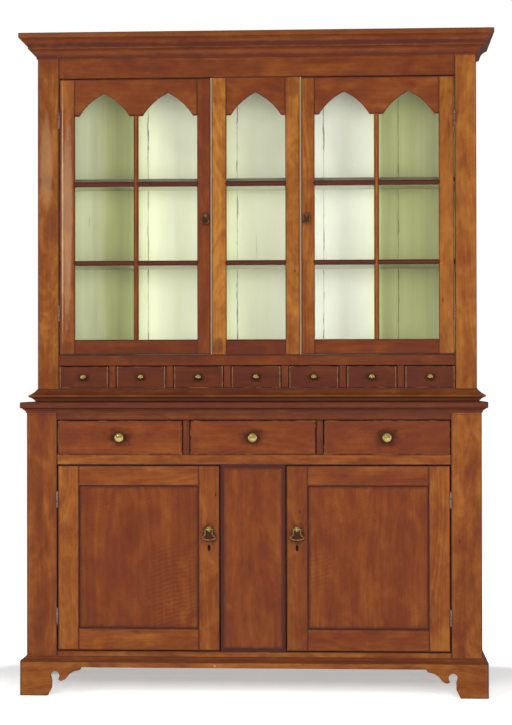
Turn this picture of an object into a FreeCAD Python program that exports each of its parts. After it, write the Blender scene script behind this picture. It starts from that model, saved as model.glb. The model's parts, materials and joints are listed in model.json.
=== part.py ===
import FreeCAD, Part
import math
import os
import re

import Sketcher
from FreeCAD import Vector

# Step back cupboard. Millimetres, +Z up, the front faces -Y.
# The origin is on the floor, half way across, and half way between the back and the large knobs.

doc = FreeCAD.newDocument("StepBackCupboard")

SIZES = {
    # whole case
    "case_width": 1483,
    "lower_depth": 508,
    "upper_setback": 195,
    "upper_inset": 3,
    "side_thick": 20,
    "frame_thick": 22,
    "back_thick": 12,
    "shelf_thick": 18,
    "mitre_reach": 100,
    "tenon_length": 32,
    "tenon_thick": 8,
    "tenon_shoulder": 10,
    "fit": 0.3,
    # bracket base
    "foot_height": 92.5,
    "base_board_height": 112,
    "base_out": 19,
    "base_mould_height": 16,
    "foot_block": 45,
    # lower case front
    "lower_stile": 99.5,
    "base_rail_height": 52,
    "lower_door_height": 601,
    "middle_rail_height": 34,
    "large_opening_height": 112.5,
    "lower_top_rail_height": 37.5,
    "divider": 22,
    "center_half": 106,
    "door_gap": 3,
    "meeting_gap": 3.5,
    "hinge_gap": 3.5,
    "lower_shelf_rise": 290,
    "shelf_setback": 40,
    # top board and the moulding under it
    "top_board_thick": 20.5,
    "top_board_out": 20,
    "under_mould_height": 15,
    "under_mould_out": 12.5,
    # panelled doors
    "panel_stile": 68,
    "panel_top_rail": 65,
    "panel_bottom_rail": 70,
    "panel_thick": 9,
    "panel_recess": 8,
    "panel_groove": 10,
    "panel_play": 2,
    # upper case front
    "upper_stile": 71.5,
    "small_rail_height": 46,
    "small_opening_height": 74.5,
    "cupboard_rail_height": 36,
    "glazed_door_height": 929,
    "frieze_height": 148,
    "small_divider": 25,
    "waist_mould_height": 43,
    "waist_mould_out": 28,
    "waist_nose_height": 19,
    "cornice_height": 80,
    "cornice_out": 57,
    # glazed doors and the fixed sash between them
    "sash_half": 148,
    "sash_gap": 5.5,
    "hinge_stile": 50,
    "meeting_stile": 44,
    "sash_stile": 48.5,
    "sash_bottom_rail": 49,
    "sash_top_rail": 47,
    "muntin": 16,
    "top_pane_extra": 49,
    "arch_rise": 77,
    "arch_shoulder": 15,
    "arch_radius": 200,
    "rabbet": 6,
    "sash_face": 12,
    "glass_thick": 2.5,
    "glass_play": 1,
    # drawers
    "drawer_front_thick": 20,
    "drawer_rise": 0.3,
    "drawer_gap": 3,
    "drawer_lap": 7,
    "drawer_back_gap": 30,
    "side_drop": 4,
    "bottom_rise": 7,
    "bottom_groove": 5,
    "large_side": 12,
    "small_side": 8,
    "large_bottom": 8,
    "small_bottom": 5,
    "runner_thick": 20,
    "runner_ledge": 25,
    "guide_height": 35,
    "dust_board": 14,
    # knobs
    "large_knob_radius": 16,
    "large_knob_reach": 30,
    "large_knob_neck": 5,
    "large_knob_flange": 9.5,
    "small_knob_radius": 10,
    "small_knob_reach": 19,
    "small_knob_neck": 3.5,
    "small_knob_flange": 6,
    "knob_flange_thick": 2,
    "knob_post": 2.5,
    "knob_nut": 6,
    "knob_nut_thick": 4,
    # hinges
    "hinge_height": 50,
    "knuckle_radius": 4,
    "hinge_pin": 1.5,
    "hinge_pin_head": 3,
    "hinge_pin_head_thick": 2,
    "leaf_reach": 23,
    "lower_hinge_inset": 110,
    "upper_hinge_inset": 139,
    # turning latches with a bail
    "lower_latch_height": 542,
    "upper_latch_height": 1582,
    "upper_latch_inset": 17,
    "latch_catch": 13,
    "latch_tongue_thick": 3,
    "large_collar": 9,
    "large_barrel": 6,
    "large_barrel_half": 9.5,
    "large_shaft": 3.5,
    "large_tongue_half": 6,
    "large_bail_half": 22.5,
    "large_bail_drop": 34,
    "large_wire": 2.25,
    "small_collar": 6.5,
    "small_barrel": 4.5,
    "small_barrel_half": 7,
    "small_shaft": 2.5,
    "small_tongue_half": 4,
    "small_bail_half": 13.5,
    "small_bail_drop": 27,
    "small_wire": 1.6,
    "collar_thick": 2.5,
    # locks of the panelled doors
    "lock_drop": 55,
    "lock_inset": 4,
    "lock_length": 56,
    "lock_half_height": 30,
    "lock_thick": 12,
    "bolt_length": 38,
    "bolt_half_height": 8,
    "bolt_thick": 6,
    "bolt_throw": 12,
    "keyhole_radius": 4,
    "keyhole_slot": 2.2,
    "keyhole_drop": 13,
}

sizes = doc.addObject("Spreadsheet::Sheet", "Sizes")
places = doc.addObject("App::VarSet", "Places")
owners = {}
for row, (alias, millimetres) in enumerate(SIZES.items(), start=1):
    sizes.set(f"A{row}", alias)
    sizes.set(f"B{row}", str(millimetres))
    sizes.setAlias(f"B{row}", alias)
    owners[alias] = "Sizes"
doc.recompute()


def bound(formula):
    """The formula with each plain name led by the sheet or set that holds it."""
    return re.sub(
        r"[a-z][a-z_0-9]*",
        lambda word: f"{owners[word[0]]}.{word[0]}" if word[0] in owners else word[0],
        formula,
    )


def place(name, formula):
    """Name a level or position that follows from the sizes."""
    places.addProperty("App::PropertyFloat", name, "Places")
    places.setExpression(name, bound(formula))
    places.recompute()
    owners[name] = "Places"


def value(formula):
    return float(places.evalExpression(bound(formula)))


def plus(formula, step):
    return f"{formula} + ({step})"


def minus(formula, step):
    return f"{formula} - ({step})"


# ------------------------------------------------------------------ solids


def box(name, x, y, z):
    """A board between the low and high plane along each axis."""
    board = doc.addObject("Part::Box", name)
    for axis, side, (low, high) in (("x", "Length", x), ("y", "Width", y), ("z", "Height", z)):
        board.setExpression(f"Placement.Base.{axis}", bound(low))
        board.setExpression(side, bound(f"({high}) - ({low})"))
    return board


TURN_TO_AXIS = {
    "x": FreeCAD.Rotation(Vector(0, 1, 0), 90),
    "y": FreeCAD.Rotation(Vector(1, 0, 0), -90),
    "z": FreeCAD.Rotation(),
}


def rod(name, axis, radius, span, **centre):
    """A cylinder along one axis, from the low to the high end of its span."""
    cylinder = doc.addObject("Part::Cylinder", name)
    cylinder.Placement = FreeCAD.Placement(Vector(), TURN_TO_AXIS[axis])
    cylinder.setExpression("Radius", bound(radius))
    cylinder.setExpression("Height", bound(f"({span[1]}) - ({span[0]})"))
    for letter, formula in {axis: span[0], **centre}.items():
        cylinder.setExpression(f"Placement.Base.{letter}", bound(formula))
    return cylinder


def joined(name, *pieces):
    """Several shapes fused into one."""
    fuse = doc.addObject("Part::MultiFuse", name)
    fuse.Shapes = list(pieces)
    return fuse


def group(name, pieces, **shift):
    """Separate solids kept together, moved by the given shift."""
    together = doc.addObject("Part::Compound", name)
    together.Links = list(pieces)
    for letter, formula in shift.items():
        together.setExpression(f"Placement.Base.{letter}", bound(formula))
    return together


def cut(name, piece, tools):
    """The piece less each of the tools."""
    result = doc.addObject("Part::Cut", name)
    result.Base = piece
    result.Tool = tools[0] if len(tools) == 1 else group(f"{name}_tools", tools)
    return result


def common(name, piece, tool):
    result = doc.addObject("Part::Common", name)
    result.Base = piece
    result.Tool = tool
    return result


def mirrored(name, piece):
    """The same piece on the other side of the middle plane."""
    twin = doc.addObject("Part::Mirroring", name)
    twin.Source = piece
    twin.Normal = Vector(1, 0, 0)
    return twin


def both_sides(name, piece):
    return [piece, mirrored(f"{name}_left", piece)]


# ---------------------------------------------------------------- outlines


def bend(radius, turn):
    """A stretch of outline that is an arc: turn is 1 where the path bends left, -1 right."""
    return {"radius": radius, "turn": turn}


def arc_between(start, end, radius, turn):
    chord = end.sub(start)
    across = Vector(-chord.y, chord.x, 0).normalize() * turn
    centre = (start + end) * 0.5 + across * math.sqrt(radius**2 - (chord.Length / 2) ** 2)
    first, last = (start, end) if turn > 0 else (end, start)
    angles = [math.atan2(p.y - centre.y, p.x - centre.x) for p in (first, last)]
    return Part.ArcOfCircle(Part.Circle(centre, Vector(0, 0, 1), radius), *angles)


def draw(sketch, outline, closed=True):
    """Draw corners joined by lines and bends, each bound to its formulas."""
    corners = [item for item in outline if isinstance(item, tuple)]
    bends = {}
    for index, item in enumerate(outline):
        if isinstance(item, dict):
            bends[len([c for c in outline[:index] if isinstance(c, tuple)]) - 1] = item
    spots = [Vector(value(u), value(v), 0) for u, v in corners]
    count = len(corners) if closed else len(corners) - 1
    ends = []
    for index in range(count):
        start, end = spots[index], spots[(index + 1) % len(spots)]
        if index in bends:
            turn = bends[index]["turn"]
            sketch.addGeometry(arc_between(start, end, value(bends[index]["radius"]), turn), False)
            ends.append((1, 2) if turn > 0 else (2, 1))
        else:
            sketch.addGeometry(Part.LineSegment(start, end), False)
            ends.append((1, 2))
    rules = []
    for index in range(count):
        following = (index + 1) % count
        if closed or following:
            rules.append((Sketcher.Constraint(
                "Coincident", index, ends[index][1], following, ends[following][0]), None))
    for index, (u, v) in enumerate(corners):
        edge, side = (index, 0) if index < count else (index - 1, 1)
        for kind, formula in (("DistanceX", u), ("DistanceY", v)):
            rules.append((Sketcher.Constraint(
                kind, edge, ends[edge][side], value(formula)), formula))
    for index, item in bends.items():
        rules.append((Sketcher.Constraint("Radius", index, value(item["radius"])), item["radius"]))
    sketch.addConstraint([rule for rule, _ in rules])
    for index, (_, formula) in enumerate(rules):
        if formula is not None:
            sketch.setExpression(f"Constraints[{index}]", bound(formula))


def sketch_on(body, name, plane, outline, closed=True):
    """A sketch of the outline on one of the body's own origin planes."""
    sketch = body.newObject("Sketcher::SketchObject", name)
    origin_plane = next(f for f in body.Origin.OriginFeatures if f.Role == f"{plane}_Plane")
    sketch.AttachmentSupport = [(origin_plane, "")]
    sketch.MapMode = "FlatFace"
    draw(sketch, outline, closed)
    return sketch


def pad(name, plane, outline, span):
    """An outline drawn on a plane and padded over the span across that plane."""
    body = doc.addObject("PartDesign::Body", name)
    sketch = sketch_on(body, f"{name}_outline", plane, outline)
    feature = body.newObject("PartDesign::Pad", f"{name}_pad")
    feature.Profile = sketch
    feature.Reversed = plane == "XZ"
    feature.setExpression("Length", bound(f"({span[1]}) - ({span[0]})"))
    across = {"XY": "z", "XZ": "y", "YZ": "x"}[plane]
    body.setExpression(f"Placement.Base.{across}", bound(span[0]))
    return body


def turned(name, outline):
    """A profile of (radius, y) turned about the Y axis."""
    body = doc.addObject("PartDesign::Body", name)
    sketch = sketch_on(body, f"{name}_profile", "XY", outline)
    feature = body.newObject("PartDesign::Revolution", f"{name}_turned")
    feature.Profile = sketch
    feature.ReferenceAxis = (sketch, ["V_Axis"])
    feature.Angle = 360
    return body


# ------------------------------------------------------------------ levels

place("lower_half", "case_width / 2")
place("lower_inner", "lower_half - lower_stile")
place("lower_front", "(large_knob_reach - lower_depth) / 2")
place("lower_behind", "lower_front + frame_thick")
place("back", "lower_front + lower_depth")
place("back_front", "back - back_thick")
place("upper_half", "lower_half - upper_inset")
place("upper_inner", "upper_half - upper_stile")
place("upper_front", "lower_front + upper_setback")
place("upper_behind", "upper_front + frame_thick")

place("base_rail_top", "foot_height + base_rail_height")
place("lower_door_bottom", "base_rail_top + door_gap")
place("lower_door_top", "lower_door_bottom + lower_door_height")
place("middle_rail_bottom", "lower_door_top + door_gap")
place("middle_rail_top", "middle_rail_bottom + middle_rail_height")
place("lower_top_rail_bottom", "middle_rail_top + large_opening_height")
place("lower_top", "lower_top_rail_bottom + lower_top_rail_height")
place("counter", "lower_top + top_board_thick")

place("small_bottom_z", "counter + small_rail_height")
place("small_top_z", "small_bottom_z + small_opening_height")
place("cupboard_floor", "small_top_z + cupboard_rail_height")
place("glazed_bottom", "cupboard_floor + door_gap")
place("glazed_top", "glazed_bottom + glazed_door_height")
place("frieze_bottom", "glazed_top + door_gap")
place("case_top", "frieze_bottom + frieze_height")

place("sight_bottom", "glazed_bottom + sash_bottom_rail")
place("apex", "glazed_top - sash_top_rail")
place("pane_height", "(apex - sight_bottom - 2 * muntin - top_pane_extra) / 3")
place("first_muntin", "sight_bottom + pane_height")
place("second_muntin", "first_muntin + muntin + pane_height")
place("shoulder", "apex - arch_rise")

SMALL_DRAWERS = 7
LARGE_DRAWERS = 3
place("large_opening_width", f"(2 * lower_inner - {LARGE_DRAWERS - 1} * divider) / {LARGE_DRAWERS}")
place("small_opening_width",
      f"(2 * upper_inner - {SMALL_DRAWERS - 1} * small_divider) / {SMALL_DRAWERS}")
place("large_pitch", "large_opening_width + divider")
place("small_pitch", "small_opening_width + small_divider")
place("large_drawer_z", "middle_rail_top")
place("small_drawer_z", "small_bottom_z")
place("large_face", "lower_front")
place("small_face", "upper_front")
place("drawer_end", "back_front - drawer_back_gap")

nodes = []


def node(name, pieces, **shift):
    """One sub-part of the cupboard: its solids under the name of its file."""
    nodes.append(group(name, pieces, **shift))


# ---------------------------------------------------------------- joinery


def tenoned(name, x, y, z, along="x"):
    """A rail and the tenon that runs through it and out of both of its ends."""
    spans = {"x": x, "y": (minus(f"({y[0]} + {y[1]}) / 2", "tenon_thick / 2"),
                           plus(f"({y[0]} + {y[1]}) / 2", "tenon_thick / 2")), "z": z}
    across = "z" if along == "x" else "x"
    spans[along] = (minus(spans[along][0], "tenon_length"), plus(spans[along][1], "tenon_length"))
    spans[across] = (plus(spans[across][0], "tenon_shoulder"),
                     minus(spans[across][1], "tenon_shoulder"))
    tenon = box(f"{name}_tenon", spans["x"], spans["y"], spans["z"])
    return joined(name, box(f"{name}_board", x, y, z), tenon), tenon


def mitre_prism(name, half, front):
    """The wedge of space in front of a case, bounded by the mitre at each front corner."""
    corners = [
        (f"-({half}) - mitre_reach", f"{front} - mitre_reach"),
        (f"{half} + mitre_reach", f"{front} - mitre_reach"),
        (f"{half} - mitre_reach", f"{front} + mitre_reach"),
        (f"-({half}) + mitre_reach", f"{front} + mitre_reach"),
    ]
    return pad(name, "XY", corners, ("0", "case_top + mitre_reach"))


lower_mitre = mitre_prism("lower_mitre", "lower_half", "lower_front")
upper_mitre = mitre_prism("upper_mitre", "upper_half", "upper_front")


def moulding(name, profile, reach, half, front, mitre):
    """A moulding along the front and both sides, in three mitred lengths.

    The profile holds (out from the case, height) corners, drawn from the case outwards and up.
    """
    front_outline, side_outline = [], []
    for item in profile:
        if isinstance(item, dict):
            front_outline.append(bend(item["radius"], -item["turn"]))
            side_outline.append(item)
        else:
            front_outline.append((f"{front} - ({item[0]})", item[1]))
            side_outline.append((f"{half} + ({item[0]})", item[1]))
    run = pad(f"{name}_run", "YZ", front_outline, (f"-({half}) - {reach}", f"{half} + {reach}"))
    wing = pad(f"{name}_wing", "XZ", side_outline, (f"{front} - {reach}", "back"))
    length = common(f"{name}_front", run, mitre)
    return [length] + both_sides(f"{name}_return", cut(f"{name}_return", wing, [mitre]))


# -------------------------------------------------------------- lower case


def lower_case():
    top_to_foot = ("foot_height", "lower_top")
    behind = ("lower_behind", "back")
    face = ("lower_front", "lower_behind")
    inside = ("-lower_half + side_thick", "lower_half - side_thick")
    between_boards = ("lower_behind", "back_front")

    side = box("lower_side", ("lower_half - side_thick", "lower_half"), behind, top_to_foot)
    node("lower_sides", both_sides("lower_side", side))

    rails, tenons = [], []
    opening = ("-lower_inner", "lower_inner")
    for name, bottom, top in (
        ("base_rail", "foot_height", "base_rail_top"),
        ("middle_rail", "middle_rail_bottom", "middle_rail_top"),
        ("lower_top_rail", "lower_top_rail_bottom", "lower_top"),
    ):
        rail, tenon = tenoned(name, opening, face, (bottom, top))
        rails.append(rail)
        tenons.append(tenon)
    stile = box("lower_stile_board", ("lower_inner", "lower_half"), face, top_to_foot)
    dividers = []
    for index in range(1, LARGE_DRAWERS):
        centre = f"large_pitch * {index - LARGE_DRAWERS / 2}"
        dividers.append(box(f"large_divider_{index}",
                            (minus(centre, "divider / 2"), plus(centre, "divider / 2")),
                            face, ("middle_rail_top", "lower_top_rail_bottom")))
    stiles = both_sides("lower_stile_cut", cut("lower_stile_cut", stile, tenons))
    node("lower_face_frame", stiles + rails + dividers)

    panel = box("center_board", ("-center_half", "center_half"), face,
                ("base_rail_top", "middle_rail_bottom"))
    node("lower_center_panel", [panel])

    runner_bottom = "middle_rail_top - runner_thick"
    boards = [
        box("bottom_board", inside, between_boards,
            ("base_rail_top - shelf_thick", "base_rail_top")),
        box("lower_shelf", inside, ("lower_behind + shelf_setback", "back_front"),
            ("base_rail_top + lower_shelf_rise", "base_rail_top + lower_shelf_rise + shelf_thick")),
        box("dust_panel", inside, between_boards,
            (minus(runner_bottom, "dust_board"), runner_bottom)),
    ]
    for name, y in (("front", ("lower_front", "lower_front + foot_block")),
                    ("rear", ("back - foot_block", "back"))):
        block = box(f"{name}_block", ("lower_half - foot_block", "lower_half"), y,
                    ("shelf_thick / 3", "foot_height"))
        boards += both_sides(f"{name}_block", block)
    node("lower_inner_boards", boards)

    seams = [0, 0.21, 0.4, 0.62, 0.79, 1]
    node("lower_back_boards", back_boards("lower_back", seams, "lower_half",
                                          ("foot_height", "lower_top")))
    node("lower_top_board", [box(
        "counter_board", ("-lower_half - top_board_out", "lower_half + top_board_out"),
        ("lower_front - top_board_out", "back"), ("lower_top", "counter"))])


def back_boards(name, seams, half, z):
    """Upright boards of uneven width, edge to edge across the back."""
    width = f"(2 * ({half} - side_thick))"
    left = f"side_thick - {half}"
    return [
        box(f"{name}_{index}", (f"{left} + {width} * {low}", f"{left} + {width} * {high}"),
            ("back_front", "back"), z)
        for index, (low, high) in enumerate(zip(seams, seams[1:]), start=1)
    ]


def drawer_guides():
    """Runners, guides and kickers of the large drawers, and partitions of the small ones."""
    pieces = []
    depth = ("lower_behind", "back_front")
    rows = [("runner", "runner_ledge", "middle_rail_top - runner_thick", "middle_rail_top"),
            ("guide", "0", "middle_rail_top", "middle_rail_top + guide_height"),
            ("kicker", "runner_ledge", "lower_top_rail_bottom",
             "lower_top_rail_bottom + runner_thick")]
    for name, ledge, bottom, top in rows:
        for index in range(1, LARGE_DRAWERS):
            centre = f"large_pitch * {index - LARGE_DRAWERS / 2}"
            reach = f"divider / 2 + {ledge}"
            pieces.append(box(f"{name}_{index}", (minus(centre, reach), plus(centre, reach)),
                              depth, (bottom, top)))
        end = box(f"{name}_end", (f"lower_inner - {ledge}", "lower_half - side_thick"),
                  depth, (bottom, top))
        pieces += both_sides(f"{name}_end", end)
    height = ("small_bottom_z", "cupboard_floor - shelf_thick")
    depth = ("upper_behind", "back_front")
    for index in range(1, SMALL_DRAWERS):
        centre = f"small_pitch * {index - SMALL_DRAWERS / 2}"
        pieces.append(box(
            f"partition_{index}", (minus(centre, "small_divider / 2"),
                                   plus(centre, "small_divider / 2")), depth, height))
    end = box("end_partition", ("upper_inner", "upper_half - side_thick"), depth, height)
    node("drawer_guides", pieces + both_sides("end_partition", end))


FOOT_CORNERS = [
    ("90", "foot_height"), ("103", "66.5"), ("103.5", "42.5"), ("99.5", "28.5"), bend("14.5", -1),
    ("114", "13"), bend("14.5", -1), ("127", "34.5"), ("124", "41.5"), ("134", "44.5"),
    bend("30", 1), ("156", "28.5"), bend("50", -1), ("188", "10.5"), ("196", "8.5"), ("202", "0"),
]


def foot_profile(start, toward):
    """One bracket foot, from its outer bottom corner inwards and up to the apron.

    Each corner stands so far in from the end of the board and so far down from the apron.
    """
    outline = []
    for item in FOOT_CORNERS:
        if isinstance(item, dict):
            outline.append(item)
        else:
            outline.append((f"{start} + {toward} * {item[0]}", f"foot_height - {item[1]}"))
    return outline if toward > 0 else outline[::-1]


def bracket_base():
    """Front and side boards of the base, each cut out to leave a foot at both ends."""
    side = "lower_half + base_out"
    front = "lower_front - base_out"
    boards = []
    for name, plane, low, high, across in (
        ("base_front", "XZ", f"-({side})", side, (front, "lower_front")),
        ("base_side", "YZ", front, "back", ("lower_half", side)),
    ):
        outline = [(low, "0")] + foot_profile(low, 1) + foot_profile(high, -1)
        outline += [(high, "0"), (high, "base_board_height"), (low, "base_board_height")]
        boards.append(pad(name, plane, outline, across))
    front_board = common("base_front_mitred", boards[0], lower_mitre)
    side_board = cut("base_side_mitred", boards[1], [lower_mitre])
    node("bracket_feet", [front_board] + both_sides("base_side", side_board))


def lower_mouldings():
    base = [("0", "base_board_height"), ("base_out", "base_board_height"),
            ("base_out", "base_board_height + 2"), bend("26", -1),
            ("2.5", "base_board_height + base_mould_height - 2"),
            ("2.5", "base_board_height + base_mould_height"),
            ("0", "base_board_height + base_mould_height")]
    under = [("0", "lower_top - under_mould_height"),
             ("2", "lower_top - under_mould_height"), bend("14", -1),
             ("under_mould_out", "lower_top - 3"), ("under_mould_out", "lower_top"),
             ("0", "lower_top")]
    pieces = moulding("base_mould", base, "base_out", "lower_half", "lower_front", lower_mitre)
    pieces += moulding("under_mould", under, "under_mould_out", "lower_half", "lower_front",
                       lower_mitre)
    node("lower_mouldings", pieces)


# -------------------------------------------------------------- upper case


def upper_case():
    face = ("upper_front", "upper_behind")
    height = ("counter", "case_top")
    inside = ("-upper_half + side_thick", "upper_half - side_thick")
    between_boards = ("upper_behind", "back_front")
    side = box("upper_side", ("upper_half - side_thick", "upper_half"),
               ("upper_behind", "back"), height)
    node("upper_sides", both_sides("upper_side", side))

    rails, tenons = [], []
    for name, bottom, top in (
        ("small_drawer_rail", "counter", "small_bottom_z"),
        ("cupboard_rail", "small_top_z", "cupboard_floor"),
        ("frieze", "frieze_bottom", "case_top"),
    ):
        rail, tenon = tenoned(name, ("-upper_inner", "upper_inner"), face, (bottom, top))
        rails.append(rail)
        tenons.append(tenon)
    stile = box("upper_stile_board", ("upper_inner", "upper_half"), face, height)
    stiles = both_sides("upper_stile_cut", cut("upper_stile_cut", stile, tenons))
    dividers = []
    for index in range(1, SMALL_DRAWERS):
        centre = f"small_pitch * {index - SMALL_DRAWERS / 2}"
        dividers.append(box(f"small_divider_{index}",
                            (minus(centre, "small_divider / 2"), plus(centre, "small_divider / 2")),
                            face, ("small_bottom_z", "small_top_z")))
    node("upper_face_frame", stiles + rails + dividers)

    shelf_depth = ("upper_behind + shelf_setback", "back_front")
    node("upper_boards", [
        box("drawer_floor", inside, between_boards,
            ("small_bottom_z - shelf_thick", "small_bottom_z")),
        box("cupboard_floor_board", inside, between_boards,
            ("cupboard_floor - shelf_thick", "cupboard_floor")),
        box("first_shelf", inside, shelf_depth,
            ("first_muntin + muntin / 4", "first_muntin + muntin * 1.25")),
        box("second_shelf", inside, shelf_depth,
            ("second_muntin + muntin", "second_muntin + muntin * 2")),
        box("case_top_board", inside, between_boards, ("case_top - side_thick", "case_top")),
    ])
    seams = [0, 0.2235, 0.443, 0.655, 0.837, 1]
    node("upper_back_boards", back_boards("upper_back", seams, "upper_half", height))


def upper_mouldings():
    nose = "counter + waist_nose_height"
    waist = [("0", "counter"), ("7", "counter"), bend("30", -1),
             ("waist_mould_out - 2", f"{nose} - 4"), ("waist_mould_out", f"{nose} - 2"),
             ("waist_mould_out", f"{nose} + 2"), bend("60", -1),
             ("2", "counter + waist_mould_height - 2"),
             ("2", "counter + waist_mould_height"), ("0", "counter + waist_mould_height")]
    node("waist_moulding", moulding("waist", waist, "waist_mould_out", "upper_half",
                                    "upper_front", upper_mitre))
    bottom = "case_top - cornice_height"
    cornice = [("0", bottom), ("4", bottom), ("4", f"{bottom} + 3"), bend("34", -1),
               ("26", f"{bottom} + 30"), ("29", f"{bottom} + 30"), ("29", f"{bottom} + 33"),
               bend("40", -1), ("cornice_out", f"{bottom} + 64"), ("cornice_out", "case_top"),
               ("0", "case_top")]
    node("cornice", moulding("cornice_piece", cornice, "cornice_out", "upper_half",
                             "upper_front", upper_mitre))


# ------------------------------------------------------------ glazed frames


def glazed(name, x, z, stile_widths, columns):
    """A frame of stiles, rails and glazing bars, and its panes; returns both lists."""
    face = ("upper_front", "upper_behind")
    seat = ("upper_front + sash_face", "upper_behind")
    left, right = f"({x[0]} + {stile_widths[0]})", f"({x[1]} - {stile_widths[1]})"
    place(f"{name}_pane", f"({right} - {left} - {columns - 1} * muntin) / {columns}")
    pane, step = f"{name}_pane", f"({name}_pane + muntin)"
    lefts = [f"{left} + {index} * {step}" for index in range(columns)]
    rows = [("sight_bottom", "first_muntin"), ("first_muntin + muntin", "second_muntin"),
            ("second_muntin + muntin", "apex")]

    rabbets, panes = [], []
    for row, (low, high) in enumerate(rows, start=1):
        for column, start in enumerate(lefts, start=1):
            wide = (f"{start} - rabbet", f"{start} + {pane} + rabbet")
            tall = (f"{low} - rabbet", f"{high} + rabbet")
            rabbets.append(box(f"{name}_rabbet_{row}_{column}", wide, seat, tall))
            panes.append(box(
                f"{name}_pane_{row}_{column}",
                (f"{wide[0]} + glass_play", f"{wide[1]} - glass_play"),
                (seat[0], f"{seat[0]} + glass_thick"),
                (f"{tall[0]} + glass_play", f"{tall[1]} - glass_play")))

    bottom, bottom_tenon = tenoned(f"{name}_bottom_rail", (left, right), face,
                                   (z[0], "sight_bottom"))
    outline = [(left, z[1]), (left, "shoulder")]
    for start in lefts:
        outline += [
            (f"{start} + arch_shoulder", "shoulder"), bend("arch_radius", -1),
            (f"{start} + {pane} / 2", "apex"), bend("arch_radius", -1),
            (f"{start} + {pane} - arch_shoulder", "shoulder"),
        ]
    outline += [(right, "shoulder"), (right, z[1])]
    top_tenon = box(f"{name}_top_tenon",
                    (f"{left} - tenon_length", f"{right} + tenon_length"),
                    ("upper_front + frame_thick / 2 - tenon_thick / 2",
                     "upper_front + frame_thick / 2 + tenon_thick / 2"),
                    ("apex + tenon_shoulder", f"{z[1]} - tenon_shoulder"))
    arched = joined(f"{name}_top_rail", pad(f"{name}_arches", "XZ", outline, face), top_tenon)

    tenons = [bottom_tenon, top_tenon]
    stiles = [
        cut(f"{name}_left_mortised", box(f"{name}_left_stile", (x[0], left), face, z), tenons),
        cut(f"{name}_right_mortised", box(f"{name}_right_stile", (right, x[1]), face, z), tenons),
    ]
    bars = [box(f"{name}_upright_{index}", (f"{start} - muntin", start), face,
                ("sight_bottom", "shoulder")) for index, start in enumerate(lefts[1:], start=1)]
    for row, (low, _) in enumerate(rows[1:], start=1):
        for column, start in enumerate(lefts, start=1):
            bars.append(box(f"{name}_bar_{row}_{column}", (start, f"{start} + {pane}"), face,
                            (f"{low} - muntin", low)))
    members = stiles + [bottom, arched] + bars
    return [cut(f"{member.Name}_glazed", member, rabbets) for member in members], panes


# ----------------------------------------------------------------- hinges


def hinges():
    """A butt hinge about an upright pin, in the gap beside a door that hangs on the right."""
    place("leaf_thick", "(hinge_gap - fit) / 2")
    plate_start = "knuckle_radius + 2 * fit"
    knuckles = 5
    halves = {}
    for half, x in (("case", ("hinge_gap / 2 - leaf_thick", "hinge_gap / 2")),
                    ("door", ("-hinge_gap / 2", "leaf_thick - hinge_gap / 2"))):
        pieces = [box(f"{half}_plate", x, (plate_start, "leaf_reach"),
                      ("-hinge_height / 2", "hinge_height / 2"))]
        for index in range(0 if half == "case" else 1, knuckles, 2):
            span = (f"hinge_height * {index / knuckles - 0.5} + fit / 2",
                    f"hinge_height * {(index + 1) / knuckles - 0.5} - fit / 2")
            pieces.append(rod(f"{half}_knuckle_{index}", "z", "knuckle_radius", span))
            pieces.append(box(f"{half}_tab_{index}", x, ("0", plate_start), span))
        bore = rod(f"{half}_bore", "z", "hinge_pin + fit",
                   ("-hinge_height", "hinge_height"))
        halves[half] = cut(f"{half}_leaf", joined(f"{half}_leaf_blank", *pieces), [bore])
    ends = ("-hinge_height / 2 - hinge_pin_head_thick", "hinge_height / 2 + hinge_pin_head_thick")
    pin = joined(
        "hinge_pin_whole",
        rod("hinge_pin_rod", "z", "hinge_pin", ends),
        rod("hinge_pin_foot", "z", "hinge_pin_head", (ends[0], "fit / 2 - hinge_height / 2")),
        rod("hinge_pin_top", "z", "hinge_pin_head", ("hinge_height / 2 - fit / 2", ends[1])))
    place("knuckle_out", "knuckle_radius + fit")
    return halves["case"], halves["door"], pin


def hinge_spots():
    """Where the hinges stand on the right side, as (name, x, y, z)."""
    spots = []
    for case, bottom, top in (("lower", "lower_door_bottom", "lower_door_top"),
                              ("upper", "glazed_bottom", "glazed_top")):
        for end, z in (("bottom", f"{bottom} + {case}_hinge_inset"),
                       ("top", f"{top} - {case}_hinge_inset")):
            spots.append((f"{case}_{end}", case, f"{case}_inner - hinge_gap / 2",
                          f"{case}_front - knuckle_out", z))
    return spots


# ------------------------------------------------------- latches and locks


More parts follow.
